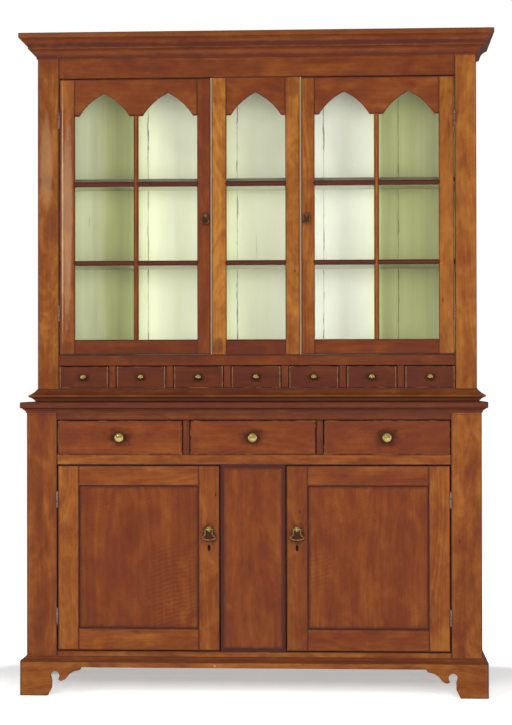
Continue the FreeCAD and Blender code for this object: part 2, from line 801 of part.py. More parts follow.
def latch(kind, reach):
    """A bail on a spindle that turns a tongue; its axis is the Y axis, the door face is y = 0."""
    barrel_y = f"-(collar_thick + {kind}_barrel + 1)"
    spindle = turned(f"{kind}_spindle_turned", [
        ("0", barrel_y), (f"{kind}_shaft + 1", barrel_y), (f"{kind}_shaft + 1", "-collar_thick"),
        (f"{kind}_collar", "-collar_thick"), (f"{kind}_collar", "0"), (f"{kind}_shaft", "0"),
        (f"{kind}_shaft", "frame_thick + fit"), ("0", "frame_thick + fit")])
    barrel = rod(f"{kind}_barrel_rod", "x", f"{kind}_barrel",
                 (f"-{kind}_barrel_half", f"{kind}_barrel_half"), y=barrel_y)
    eye = rod(f"{kind}_eye", "x", f"{kind}_wire + fit",
              (f"-{kind}_barrel_half - 1", f"{kind}_barrel_half + 1"), y=barrel_y)
    handle = cut(f"{kind}_spindle", joined(f"{kind}_spindle_blank", spindle, barrel), [eye])
    tongue = box(f"{kind}_tongue", (f"-{kind}_tongue_half", f"{kind}_tongue_half"),
                 ("frame_thick + fit", "frame_thick + fit + latch_tongue_thick"),
                 (f"-{kind}_tongue_half - 2", reach))

    bail = doc.addObject("PartDesign::Body", f"{kind}_bail")
    hip = f"{kind}_barrel_half + {kind}_wire + 1"
    path = sketch_on(bail, f"{kind}_bail_path", "XZ", [
        (f"-{kind}_barrel_half + 4", "0"), (f"-({hip})", "0"),
        (f"-{kind}_bail_half", f"-{kind}_bail_drop"), (f"{kind}_bail_half", f"-{kind}_bail_drop"),
        (hip, "0"), (f"{kind}_barrel_half - 4", "0")], closed=False)
    ring = bail.newObject("Sketcher::SketchObject", f"{kind}_bail_wire")
    side_plane = next(f for f in bail.Origin.OriginFeatures if f.Role == "YZ_Plane")
    ring.AttachmentSupport = [(side_plane, "")]
    ring.MapMode = "FlatFace"
    ring.setExpression("AttachmentOffset.Base.z", bound(f"4 - {kind}_barrel_half"))
    ring.addGeometry(Part.Circle(Vector(), Vector(0, 0, 1), value(f"{kind}_wire")), False)
    ring.addConstraint([Sketcher.Constraint("Coincident", 0, 3, -1, 1),
                        Sketcher.Constraint("Radius", 0, value(f"{kind}_wire"))])
    ring.setExpression("Constraints[1]", bound(f"{kind}_wire"))
    pipe = bail.newObject("PartDesign::AdditivePipe", f"{kind}_bail_bent")
    pipe.Profile = ring
    pipe.Spine = (path, [f"Edge{index}" for index in range(1, 6)])
    pipe.Transition = "Right corner"
    bail.setExpression("Placement.Base.y", bound(barrel_y))
    return [handle, tongue], bail


def lock():
    """Lock case, bolt and keyhole of the right-hand panelled door."""
    edge = "lower_meeting + lock_inset"
    middle = "lower_latch_height - lock_drop"
    depth = ("lower_behind", "lower_behind + lock_thick")
    bolt_y = "lower_behind + lock_thick / 2"
    case = box("lock_block", (edge, f"{edge} + lock_length"), depth,
               (f"{middle} - lock_half_height", f"{middle} + lock_half_height"))
    rise = "bolt_half_height + keyhole_radius + 3"
    low, high = f"{middle} + {rise} - bolt_half_height", f"{middle} + {rise} + bolt_half_height"
    bolt = box("bolt", (edge, f"{edge} + bolt_length"),
               (f"{bolt_y} - bolt_thick / 2", f"{bolt_y} + bolt_thick / 2"), (low, high))
    channel = box("bolt_channel", (f"{edge} - 1", f"{edge} + bolt_length + fit"),
                  (f"{bolt_y} - bolt_thick / 2 - fit", f"{bolt_y} + bolt_thick / 2 + fit"),
                  (f"{low} - fit", f"{high} + fit"))
    key_x = "lower_latch_x"
    through = ("lower_front - 1", "lower_behind + lock_thick / 2")
    keyhole = joined(
        "keyhole", rod("keyhole_eye", "y", "keyhole_radius", through, x=key_x, z=middle),
        box("keyhole_slot_cut", (f"{key_x} - keyhole_slot", f"{key_x} + keyhole_slot"), through,
            (f"{middle} - keyhole_drop", middle)))
    return cut("lock_case", case, [channel, keyhole]), bolt, keyhole


# ------------------------------------------------------------------ doors


def doors():
    place("lower_meeting", "center_half + meeting_gap")
    place("lower_latch_x", "lower_meeting + panel_stile / 2")
    place("lower_hinge_edge", "lower_inner - hinge_gap")
    place("upper_meeting", "sash_half + sash_gap")
    place("upper_latch_x", "upper_meeting + upper_latch_inset")
    place("upper_hinge_edge", "upper_inner - hinge_gap")

    case_leaf, door_leaf, pin = hinges()
    lock_case, bolt, keyhole = lock()
    case_parts, door_leaves = [], {"lower": [], "upper": []}
    for name, case, x, y, z in hinge_spots():
        case_parts.append(group(f"{name}_case_leaf", [case_leaf, pin], x=x, y=y, z=z))
        door_leaves[case].append(group(f"{name}_door_leaf", [door_leaf], x=x, y=y, z=z))
    case_parts += [mirrored(f"{part.Name}_left", part) for part in case_parts]
    node("case_hinges", case_parts)

    shaft_hole = {
        kind: rod(f"{kind}_shaft_hole", "y", f"{kind}_shaft + fit",
                  (f"{case}_front - 1", f"{case}_behind + 1"), x=f"{case}_latch_x",
                  z=f"{case}_latch_height")
        for kind, case in (("large", "lower"), ("small", "upper"))
    }
    frame, panes = glazed("glazed_door", ("upper_meeting", "upper_hinge_edge"),
                          ("glazed_bottom", "glazed_top"), ("meeting_stile", "hinge_stile"), 2)
    frame[0] = cut("glazed_meeting_stile", frame[0], [shaft_hole["small"]])
    panel_frame, panel = panel_door(shaft_hole["large"], keyhole)
    sets = {
        "glazed_door_frame": frame,
        "glazed_door_panes": panes,
        "glazed_door_hinges": door_leaves["upper"],
        "panel_door_frame": panel_frame,
        "panel_door_panel": [panel],
        "panel_door_hardware": door_leaves["lower"] + [lock_case],
        "lock_bolt": [bolt],
    }
    for kind, case, gap in (("large", "lower", "meeting_gap"), ("small", "upper", "sash_gap")):
        reach = f"{case}_latch_x - {case}_meeting + {gap} + latch_catch"
        spindle, bail = latch(kind, reach)
        spot = {"x": f"{case}_latch_x", "y": f"{case}_front", "z": f"{case}_latch_height"}
        sets[f"{case}_latch_spindle"] = [group(f"{case}_spindle_placed", spindle, **spot)]
        sets[f"{case}_latch_bail"] = [group(f"{case}_bail_placed", [bail], **spot)]
    for name, pieces in sets.items():
        node(f"right_{name}", pieces)
        node(f"left_{name}", [mirrored(f"left_{name}_{index}", piece)
                              for index, piece in enumerate(pieces, start=1)])

    sash_frame, sash_panes = glazed("center_sash", ("-sash_half", "sash_half"),
                                    ("cupboard_floor", "frieze_bottom"),
                                    ("sash_stile", "sash_stile"), 1)
    node("center_sash_frame", sash_frame)
    node("center_sash_panes", sash_panes)


def panel_door(shaft_hole, keyhole):
    """Stiles and rails grooved for a flat panel that is free to shrink."""
    face = ("lower_front", "lower_behind")
    z = ("lower_door_bottom", "lower_door_top")
    left, right = "lower_meeting + panel_stile", "lower_hinge_edge - panel_stile"
    low, high = "lower_door_bottom + panel_bottom_rail", "lower_door_top - panel_top_rail"
    slot = ("lower_front + panel_recess", "lower_front + panel_recess + panel_thick")
    groove = box("panel_groove_cut", (f"{left} - panel_groove", f"{right} + panel_groove"), slot,
                 (f"{low} - panel_groove", f"{high} + panel_groove"))
    room = "panel_groove - panel_play"
    panel = box("door_panel", (f"{left} - ({room})", f"{right} + {room}"), slot,
                (f"{low} - ({room})", f"{high} + {room}"))
    bottom, bottom_tenon = tenoned("panel_bottom_rail_whole", (left, right), face, (z[0], low))
    top, top_tenon = tenoned("panel_top_rail_whole", (left, right), face, (high, z[1]))
    tenons = [bottom_tenon, top_tenon]
    meeting = box("panel_meeting_stile", ("lower_meeting", left), face, z)
    hanging = box("panel_hanging_stile", (right, "lower_hinge_edge"), face, z)
    members = [
        cut("panel_meeting_cut", cut("panel_meeting_mortised", meeting, tenons),
            [groove, shaft_hole, keyhole]),
        cut("panel_hanging_cut", cut("panel_hanging_mortised", hanging, tenons), [groove]),
        cut("panel_bottom_grooved", bottom, [groove]),
        cut("panel_top_grooved", top, [groove]),
    ]
    return members, panel


# ---------------------------------------------------------------- drawers

TAIL_ROOT = 0.24
TAIL_TIP = 0.14


def tails(count, shoulder, tip, low, height):
    """Dovetails up one end of a drawer side, as corners from the bottom to the top."""
    corners = []
    for index in range(count):
        for y, share in ((shoulder, TAIL_ROOT), (tip, TAIL_TIP), (tip, 1 - TAIL_TIP),
                         (shoulder, 1 - TAIL_ROOT)):
            corners.append((y, f"{low} + ({height}) * {round((index + share) / count, 4)}"))
    return corners


def drawer(kind, tail_count):
    """A dovetailed drawer about x = 0; returns its boards."""
    face, half = f"{kind}_face", f"({kind}_opening_width / 2 - drawer_gap)"
    low = f"({kind}_drawer_z + drawer_rise)"
    high = f"({kind}_drawer_z + {kind}_opening_height - drawer_gap)"
    front_back = f"{face} + drawer_front_thick"
    side_x = (f"{half} - {kind}_side", half)
    side_top = f"{high} - side_drop"
    height = f"{side_top} - {low}"
    lap = f"{face} + drawer_lap"

    floor = f"{low} + bottom_rise"
    bottom = box(f"{kind}_drawer_bottom",
                 (f"-({side_x[0]} + bottom_groove)", f"{side_x[0]} + bottom_groove"),
                 (f"{front_back} - bottom_groove", "drawer_end"),
                 (floor, f"{floor} + {kind}_bottom"))
    outline = [(front_back, low)] + tails(tail_count, front_back, lap, low, height)
    outline += [(front_back, side_top)]
    rear = tails(tail_count, f"drawer_end - {kind}_side", "drawer_end", low, height)
    outline += [(f"drawer_end - {kind}_side", side_top)] + rear[::-1]
    outline += [(f"drawer_end - {kind}_side", low)]
    side = cut(f"{kind}_drawer_side", pad(f"{kind}_side_blank", "YZ", outline, side_x), [bottom])
    sides = both_sides(f"{kind}_drawer_side", side)

    hole = rod(f"{kind}_knob_hole", "y", "knob_post + fit", (f"{face} - 1", f"{front_back} + 1"),
               z=f"({low} + {high}) / 2")
    front = cut(f"{kind}_drawer_front",
                box(f"{kind}_front_board", (f"-{half}", half), (face, front_back), (low, high)),
                sides + [bottom, hole])
    back = cut(f"{kind}_drawer_back",
               box(f"{kind}_back_board", (f"-{half}", half),
                   (f"drawer_end - {kind}_side", "drawer_end"),
                   (f"{floor} + {kind}_bottom", side_top)), sides)
    return [front, back, bottom] + sides


def knob(kind):
    """A turned knob with its threaded post and the nut behind the drawer front."""
    radius, reach, neck = f"{kind}_knob_radius", f"{kind}_knob_reach", f"{kind}_knob_neck"
    flange = f"{kind}_knob_flange"
    post_end = "drawer_front_thick + knob_nut_thick + 2"
    body = turned(f"{kind}_knob_body", [
        ("0", f"-{reach}"), bend(f"{radius} * 1.5", 1), (f"{radius} * 0.75", f"-{reach} * 0.88"),
        bend(f"{radius} * 0.55", 1), (radius, f"-{reach} * 0.62"),
        bend(f"{radius} * 0.95", 1), (f"{neck} + 1", f"-{reach} * 0.3"),
        (neck, f"-{reach} * 0.2"), (neck, "-knob_flange_thick - 1"),
        (flange, "-knob_flange_thick"), (flange, "0"), ("knob_post", "0"),
        ("knob_post", post_end), ("0", post_end)])
    nut_blank = rod(f"{kind}_nut_blank", "y", "knob_nut",
                    ("drawer_front_thick", "drawer_front_thick + knob_nut_thick"))
    bore = rod(f"{kind}_nut_bore", "y", "knob_post",
               ("drawer_front_thick - 1", "drawer_front_thick + knob_nut_thick + 1"))
    return [body, cut(f"{kind}_nut", nut_blank, [bore])]


def drawers():
    for kind, count, tail_count in (("large", LARGE_DRAWERS, 3), ("small", SMALL_DRAWERS, 2)):
        boards, knob_parts = drawer(kind, tail_count), knob(kind)
        height = f"{kind}_drawer_z + (drawer_rise + {kind}_opening_height - drawer_gap) / 2"
        for number in range(1, count + 1):
            x = f"{kind}_pitch * {number - (count + 1) / 2}"
            node(f"{kind}_drawer_{number}", boards, x=x)
            node(f"{kind}_knob_{number}", knob_parts, x=x, y=f"{kind}_face", z=height)


# -------------------------------------------------------- build and export

lower_case()
bracket_base()
lower_mouldings()
drawer_guides()
upper_case()
upper_mouldings()
doors()
drawers()
doc.recompute()

for item in doc.Objects:
    if {"Invalid", "Error"} & set(item.State):
        raise RuntimeError(f"{item.Label} did not build: {item.State}")
for part in nodes:
    if part.Shape.isNull() or not part.Shape.isValid() or not part.Shape.Solids:
        raise RuntimeError(f"{part.Label} has no valid shape")

os.makedirs("parts", exist_ok=True)
for part in nodes:
    part.Shape.exportStep(f"parts/{part.Label}.step")
print(f"{len(nodes)} nodes, {sum(len(part.Shape.Solids) for part in nodes)} solids")
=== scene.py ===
import json
import math
import random

import bmesh
import bpy
from mathutils import Matrix, Vector, noise


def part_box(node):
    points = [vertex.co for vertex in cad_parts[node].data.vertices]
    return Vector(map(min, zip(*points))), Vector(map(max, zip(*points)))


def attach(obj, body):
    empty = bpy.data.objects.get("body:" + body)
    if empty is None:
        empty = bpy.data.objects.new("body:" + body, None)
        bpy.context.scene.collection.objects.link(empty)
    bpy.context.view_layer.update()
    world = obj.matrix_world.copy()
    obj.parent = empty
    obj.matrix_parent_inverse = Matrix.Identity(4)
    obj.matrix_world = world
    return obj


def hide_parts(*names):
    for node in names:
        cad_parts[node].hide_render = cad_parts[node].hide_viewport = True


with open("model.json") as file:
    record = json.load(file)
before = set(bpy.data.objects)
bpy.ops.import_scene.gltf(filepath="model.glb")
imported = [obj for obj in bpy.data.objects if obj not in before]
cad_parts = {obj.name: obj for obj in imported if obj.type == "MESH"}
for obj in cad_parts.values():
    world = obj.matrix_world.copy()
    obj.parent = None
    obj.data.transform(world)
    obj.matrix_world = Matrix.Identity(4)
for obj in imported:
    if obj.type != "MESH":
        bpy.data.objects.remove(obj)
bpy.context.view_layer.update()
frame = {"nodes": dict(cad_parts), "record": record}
print("frame loaded:", len(frame["nodes"]), "nodes")


# a shader socket that adds and multiplies like a number
class Flow:
    def __init__(self, bench, socket):
        self.bench, self.socket = bench, socket

    def __abs__(self):
        return self.bench.sum("ABSOLUTE", self)


for key, operation in {"add": "ADD", "sub": "SUBTRACT", "mul": "MULTIPLY",
                       "truediv": "DIVIDE"}.items():
    setattr(Flow, f"__{key}__",
            lambda self, other, how=operation: self.bench.sum(how, self, other))
    setattr(Flow, f"__r{key}__",
            lambda self, other, how=operation: self.bench.sum(how, other, self))


class Bench:
    def __init__(self, tree):
        self.tree = tree
        self.tree.nodes.clear()

    # a kind without a prefix is a shader node; settings are set before the sockets
    def add(self, kind, sockets=None, settings=None, out=0):
        made = self.tree.nodes.new(kind if "Node" in kind else "ShaderNode" + kind)
        for key, value in (settings or {}).items():
            setattr(made, key, value)
        for key, value in (sockets or {}).items():
            target = made.inputs[key]
            if isinstance(value, Flow):
                self.tree.links.new(value.socket, target)
            else:
                target.default_value = (*value, 1) if target.type == "RGBA" else value
        return Flow(self, made.outputs[out])

    def sum(self, operation, *parts):
        return self.add("Math", dict(enumerate(parts)), {"operation": operation})

    def length(self, across, up):
        return self.sum("SQRT", across * across + up * up)

    def limit(self, value):
        return self.add("Clamp", {0: value, 1: 0.0, 2: 1.0})

    def span(self, value, low, high, toLow=0.0, toHigh=1.0):
        return self.add("MapRange", {0: value, 1: low, 2: high, 3: toLow, 4: toHigh},
                        {"interpolation_type": "SMOOTHSTEP"})

    def fade(self, value, low, high, full=1.0):
        return self.span(value, low, high, full, 0.0)

    def blend(self, share, first, second):
        return self.add("Mix", {0: share, 6: first, 7: second}, {"data_type": "RGBA"}, 2)

    # soft noise; three scales stretch it along the axes
    def cloud(self, vector, scale, detail=2.0, roughness=0.5, distortion=0.0):
        if isinstance(scale, tuple):
            vector = self.add("VectorMath", {0: vector, 1: scale}, {"operation": "MULTIPLY"})
            scale = 1.0
        return self.add("TexNoise", {"Vector": vector, "Scale": scale, "Detail": detail,
                                     "Roughness": roughness, "Distortion": distortion})

    def own(self, name):
        return self.add("Attribute", None, {"attribute_name": name}, "Vector")

    def place(self):
        return self.add("TexCoord", out="Object")

    def axes(self, vector):
        node = self.add("SeparateXYZ", {0: vector}).socket.node
        return [Flow(self, socket) for socket in node.outputs]

    def ramp(self, value, stops):
        flow = self.add("ValToRGB", {0: value})
        elements = flow.socket.node.color_ramp.elements
        while len(elements) < len(stops):
            elements.new(0.5)
        for element, (position, colour) in zip(elements, stops):
            element.position = position
            element.color = (*colour, 1)
        return flow

    # 1 where the camera sees a thing, itself, mirrored or through glass
    def seen(self):
        direct, mirrored, through = (self.add("LightPath", out=f"Is {way} Ray")
                                     for way in ("Camera", "Glossy", "Transmission"))
        return self.limit(direct + mirrored + through)

    def bump(self, height, strength, distance):
        return self.add("Bump", {"Strength": strength, "Distance": distance, "Height": height})

    def finish(self, shader, output="OutputMaterial"):
        target = self.tree.nodes.new("ShaderNode" + output).inputs["Surface"]
        self.tree.links.new(shader.socket, target)

    def surface(self, colour, roughness, bump, more=None):
        self.finish(self.add("BsdfPrincipled", {
            "Base Color": colour, "Roughness": roughness, "Normal": bump, **(more or {})}))


def newMaterial(name):
    material = bpy.data.materials.new(name)
    material.use_nodes = True
    return material, Bench(material.node_tree)


cherryLook = {
    "dark": (0.045, 0.014, 0.0115),
    "body": (0.11, 0.0262, 0.0096),
    "light": (0.186, 0.0492, 0.0114),
    "gold": (0.168, 0.0515, 0.0104),
    "touched": (0.034, 0.0085, 0.0065),
    "pale": (0.303, 0.125, 0.024),
    "ringsPerMetre": 150.0,
    "grimeFrom": 0.0,
    "grimeReach": 0.0058,
    "sheen": 0.42,
}
# knots, cracks, a chip, bleached strips, bands of painted shade and light along the waist and
# cornice, and painted shadow at the lower latches: x, z, half width, half height, strength, colour
cherryLook["flaws"] = [
    (-0.6425, 0.205, 0.0016, 0.021, 0.9, (0.03, 0.008, 0.004)),
    (0.669, 0.506, 0.004, 0.01, 0.7, (0.035, 0.01, 0.005)),
    (-0.1215, 0.655, 0.0028, 0.008, 0.8, (0.03, 0.008, 0.004)),
    (0.152, 0.598, 0.004, 0.007, 0.7, (0.05, 0.014, 0.006)),
    (0.131, 1.394, 0.0035, 0.006, 0.8, (0.035, 0.01, 0.005)),
    (0.626, 1.294, 0.0035, 0.009, 0.6, (0.05, 0.014, 0.006)),
    (-0.7, 1.69, 0.018, 0.03, 0.5, (0.075, 0.018, 0.007)),
    (-0.702, 1.38, 0.015, 0.022, 0.4, (0.075, 0.018, 0.007)),
    (0.696, 1.76, 0.012, 0.034, 0.4, (0.075, 0.018, 0.007)),
    (-0.124, 0.0995, 0.0045, 0.0035, 0.8, (0.46, 0.27, 0.1)),
    # a bleached strip down the left glazed door's hinge stile, with a painted highlight along its
    # edge
    (-0.638, 1.58, 0.02, 0.43, 0.42, (0.34, 0.205, 0.115)),
    (-0.654, 1.6, 0.0026, 0.52, 0.7, (0.5, 0.34, 0.22)),
    (-0.64, 1.135, 0.028, 0.032, 0.65, (0.085, 0.022, 0.01)),
    (-0.71, 1.76, 0.026, 0.19, 0.5, (0.26, 0.14, 0.07)),
    (-0.7, 1.54, 0.023, 0.075, 0.45, (0.085, 0.024, 0.014)),
    (-0.128, 1.995, 0.022, 0.055, 0.45, (0.13, 0.035, 0.011)),
    (-0.128, 1.143, 0.022, 0.034, 0.7, (0.09, 0.024, 0.01)),
    (0.127, 2.012, 0.022, 0.048, 0.65, (0.11, 0.028, 0.01)),
    (0.127, 1.14, 0.022, 0.03, 0.4, (0.11, 0.028, 0.01)),
    # bands across the waist: dark ones painted shade under the counter's nose and along the
    # moulding below, the pale one painted light on the nose
    (0.0, 0.935, 1.3, 0.0024, 0.85, (0.03, 0.009, 0.006)),
    (0.0, 0.9575, 1.3, 0.002, 0.7, (0.03, 0.009, 0.006)),
    (0.0, 0.966, 1.3, 0.0085, 0.55, (0.15, 0.062, 0.038)),
    (0.0, 0.9145, 1.3, 0.0035, 0.45, (0.045, 0.015, 0.01)),
    (0.0, 0.8945, 0.61, 0.0022, 0.8, (0.022, 0.007, 0.004)),
    # bands across the cornice: dark ones painted shade where its profile faces down, the pale one
    # painted light between them
    (0.0, 2.156, 1.3, 0.01, 0.8, (0.046, 0.012, 0.009)),
    (0.0, 2.135, 1.3, 0.005, 0.25, (0.19, 0.06, 0.022)),
    (0.0, 2.12, 1.3, 0.0085, 0.62, (0.055, 0.014, 0.01)),
    # near-black patches on the meeting stiles at the lower latches: painted shadow of the bails
    (-0.1435, 0.48, 0.0062, 0.0115, 0.95, (0.012, 0.006, 0.004)),
    (0.1435, 0.48, 0.0062, 0.0115, 0.95, (0.012, 0.006, 0.004)),
]
panelLook = dict(cherryLook, ringsPerMetre=110.0, grimeFrom=0.0085, grimeReach=0.025,
                 lineDepth=1.1,
                 flaws=[(-0.531, 0.2185, 0.001, 0.006, 0.9, (0.03, 0.008, 0.004)),
                        (-0.39, 0.55, 0.035, 0.09, 0.3, (0.055, 0.011, 0.004))],
                 curlAt=[(-0.262, 0.33, 0.11, 0.19), (0.215, 0.41, 0.05, 0.07)])
drawerLook = dict(cherryLook, flaws=[], rubReach=0.003, rubDepth=0.8)
smallDrawerLook = dict(drawerLook, endRub=0.0036, endPale=(0.25, 0.13, 0.075))
plainWoodLook = {
    "dark": (0.16, 0.085, 0.038),
    "body": (0.36, 0.22, 0.105),
    "light": (0.46, 0.3, 0.155),
    "gold": (0.48, 0.32, 0.16),
    "pale": (0.55, 0.4, 0.24),
    "ringsPerMetre": 120.0,
    "grimeFrom": 0.0,
    "grimeReach": 0.006,
    "sheen": 0.62,
}
bareStripLook = dict(plainWoodLook, dark=(0.12, 0.085, 0.048), body=(0.25, 0.185, 0.115),
                     light=(0.31, 0.235, 0.15), gold=(0.28, 0.21, 0.13), pale=(0.34, 0.265, 0.17),
                     grimeReach=0.0006, lineDepth=0.0)


# board attributes: spot is (along, across, through) in metres from the board's middle, half its
# half sizes, start a shift that sets boards apart, tone is (lightness, goldness, curl)
def woodMaterial(name, look, finished=True):
    material, bench = newMaterial(name)
    spot, half, start, tone = (bench.own(key) for key in ("spot", "half", "start", "tone"))
    grain = bench.add("VectorMath", {0: spot, 1: start})
    spotParts, halfParts = bench.axes(spot), bench.axes(half)
    along, across, through = bench.axes(grain)
    light, golden, curl = bench.axes(tone)
    placeX, _, placeZ = bench.axes(bench.place())

    # how far a point lies from a spot on the front, squared, 1 at the spot's rim
    def beyond(x, z, wide, tall):
        u, v = (placeX - x) / wide, (placeZ - z) / tall
        return u * u + v * v

    # rings about a pith that lies behind the board and wanders along it
    sway = bench.cloud(grain, (1.6, 5.0, 5.0)) - 0.5
    slow = bench.add("VectorMath", {0: grain, 1: (0.9, 0.2, 0.2)}, {"operation": "MULTIPLY"})
    drift = bench.cloud(slow, 1.3, 1.0) - 0.5
    radius = bench.length(across + sway * 0.05, through + 0.09 + drift * 0.2)
    rings = bench.add("TexNoise", {"W": radius * look["ringsPerMetre"], "Scale": 1.0,
                                   "Detail": 3.0, "Roughness": 0.6},
                      {"noise_dimensions": "1D"})
    broad = bench.cloud(grain, (1.6, 24.0, 24.0), 3.0, 0.55)
    blotch = bench.cloud(grain, (9.0, 16.0, 16.0), 3.0, 0.55, 0.6)
    mottle = bench.cloud(grain, (38.0, 62.0, 62.0))
    fibre = bench.cloud(grain, (20.0, 560.0, 560.0), 3.0, 0.65)
    streak = bench.cloud(grain, (4.0, 130.0, 130.0), 2.0, 0.6)

    # curl runs across the grain in patches, and rises to one side
    wave = bench.sum("SINE", along * 450 - across * 150 + sway * 26 + (mottle - 0.5) * 7)
    patch = bench.span(bench.cloud(grain, (2.6, 9.0, 9.0), 1.0), 0.4, 0.6)
    for curled in look.get("curlAt", ()):
        patch = patch * 0.55 + bench.fade(beyond(*curled), 0.3, 1.0, 0.9)
    figure = wave * patch * curl

    lively = ((rings - 0.5) * 0.3 + (broad - 0.5) * 0.34 + (blotch - 0.5) * 0.5
              + (mottle - 0.5) * 0.22 + (streak - 0.5) * 0.24)
    tint = (0.5 + lively * (0.85 + golden * 1.3) + (fibre - 0.5) * 0.28
            + light + figure * 0.1)
    redWood = bench.ramp(tint, [(0.0, look["dark"]), (0.5, look["body"]), (1.0, look["light"])])
    gold = bench.ramp(tint, [(0.0, look["body"]), (0.45, look["gold"]), (1.0, look["pale"])])
    share = bench.limit(golden + (broad - 0.5) * 0.7 + (blotch - 0.5) * 0.9)
    colour = bench.blend(share, redWood, gold)

    # thin dark gum marks along the grain
    gum = bench.cloud(grain, (22.0, 430.0, 430.0), 1.0)
    spots = bench.span(gum, 0.7, 0.77) * bench.span(blotch, 0.48, 0.6)
    colour = bench.blend(spots * 0.5, colour, look["dark"])

    # dirt and old varnish gather at the edges of each board, and the darkening is also painted
    # shade in the gaps and recesses beside them; moulding hollows are darkened as painted shade
    # with their dirt; arrises are rubbed
    gaps = [h - abs(s) for h, s in zip(halfParts, spotParts)]
    least, most = (bench.sum(how, bench.sum(how, gaps[0], gaps[1]), gaps[2])
                   for how in ("MINIMUM", "MAXIMUM"))
    toEdge = gaps[0] + gaps[1] + gaps[2] - least - most
    ragged = bench.cloud(grain, (30.0, 60.0, 60.0), 3.0) * 1.2 - 0.1
    near, reach = look["grimeFrom"], look["grimeReach"]
    dirtAndShade = bench.fade(toEdge, near, near + (reach - near) * (0.35 + ragged))
    dirtAndShade = dirtAndShade * (0.48 + 0.55 * blotch)
    line = bench.fade(toEdge, near + 0.0003, near + 0.003)
    line = line * (0.2 + 0.75 * bench.span(ragged, 0.3, 0.62))
    # hollows of mouldings are darkened: dirt and painted shade
    hollow, ridge, _ = bench.axes(bench.own("carved"))
    dirtAndShade = bench.limit(dirtAndShade + line * look.get("lineDepth", 0.6) + hollow * (0.35 + ragged * 0.7))
    rubbed = bench.fade(toEdge, 0.0, look.get("rubReach", 0.0011)) * bench.span(
        ragged, 0.42, 0.72)
    colour = bench.blend(dirtAndShade, colour, look["dark"])
    colour = bench.blend(bench.limit(rubbed * look.get("rubDepth", 0.45) + ridge * 0.22),
                         colour, look["pale"])

    # small drawers are paler down both ends
    if "endRub" in look:
        mixShare = bench.fade(gaps[0], 0.0005, look["endRub"]) * (
            0.35 + 0.75 * bench.span(ragged, 0.2, 0.62))
        colour = bench.blend(bench.limit(mixShare), colour, look["endPale"])

    # hands have darkened the wood round each knob and latch, and the patch, wider than it is tall,
    # is also painted shadow of the knob or latch
    patchX, patchY, patchSize = bench.axes(bench.own("stain"))
    away = bench.length((spotParts[0] - patchX) * 0.85, (spotParts[1] - patchY) * 1.15)
    away = away / bench.sum("MAXIMUM", patchSize, 0.0001)
    handDirtAndShadow = bench.fade(away + (mottle - 0.5) * 0.9, 0.25, 1.0) * 0.86
    colour = bench.blend(handDirtAndShadow, colour, look.get("touched", look["dark"]))

    # knots, cracks, bleached strips, and bands and patches of painted shade and light, at their
    # own places
    uneven = (mottle - 0.5) * 0.8 + (streak - 0.5) * 0.9
    for *where, depth, tint in look.get("flaws", ()):
        colour = bench.blend(bench.fade(beyond(*where) + uneven, 0.2, 1.0, depth), colour, tint)

    rough = look["sheen"] + (broad - 0.5) * 0.16 + (fibre - 0.5) * 0.14 + dirtAndShade * 0.12
    height = fibre * 0.5 + rings * 0.35 + streak * 0.4 + figure * 0.12
    varnish = {"Coat Weight": 0.1, "Coat Roughness": 0.3} if finished else {}
    bench.surface(colour, rough, bench.bump(height, 0.35, 0.0006),
                  {"Specular IOR Level": 0.0, **varnish})
    return material


paintLook = {
    "cream": (0.8, 0.808, 0.715),
    "soft": (0.74, 0.765, 0.52),
    "green": (0.42, 0.44, 0.19),
    "deep": (0.23, 0.245, 0.1),
    "crack": (0.07, 0.058, 0.03),
    # how far the paint runs from cream to deep across the case, 0 to 3: partly the paint's own
    # green, partly painted shade; the deep bands are painted shadow
    "kept": [(-0.63, 1.1), (-0.57, 1.45), (-0.5, 2.9), (-0.455, 2.5), (-0.43, 1.1),
             (-0.4, 0.8), (-0.33, 0.6), (-0.16, 0.55), (-0.125, 1.35), (-0.085, 0.7),
             (0.1, 0.45), (0.2, 0.0), (0.37, 0.25), (0.4, 0.9), (0.43, 2.6), (0.52, 2.35),
             (0.6, 1.8)],
    "floor": 1.1125,
}


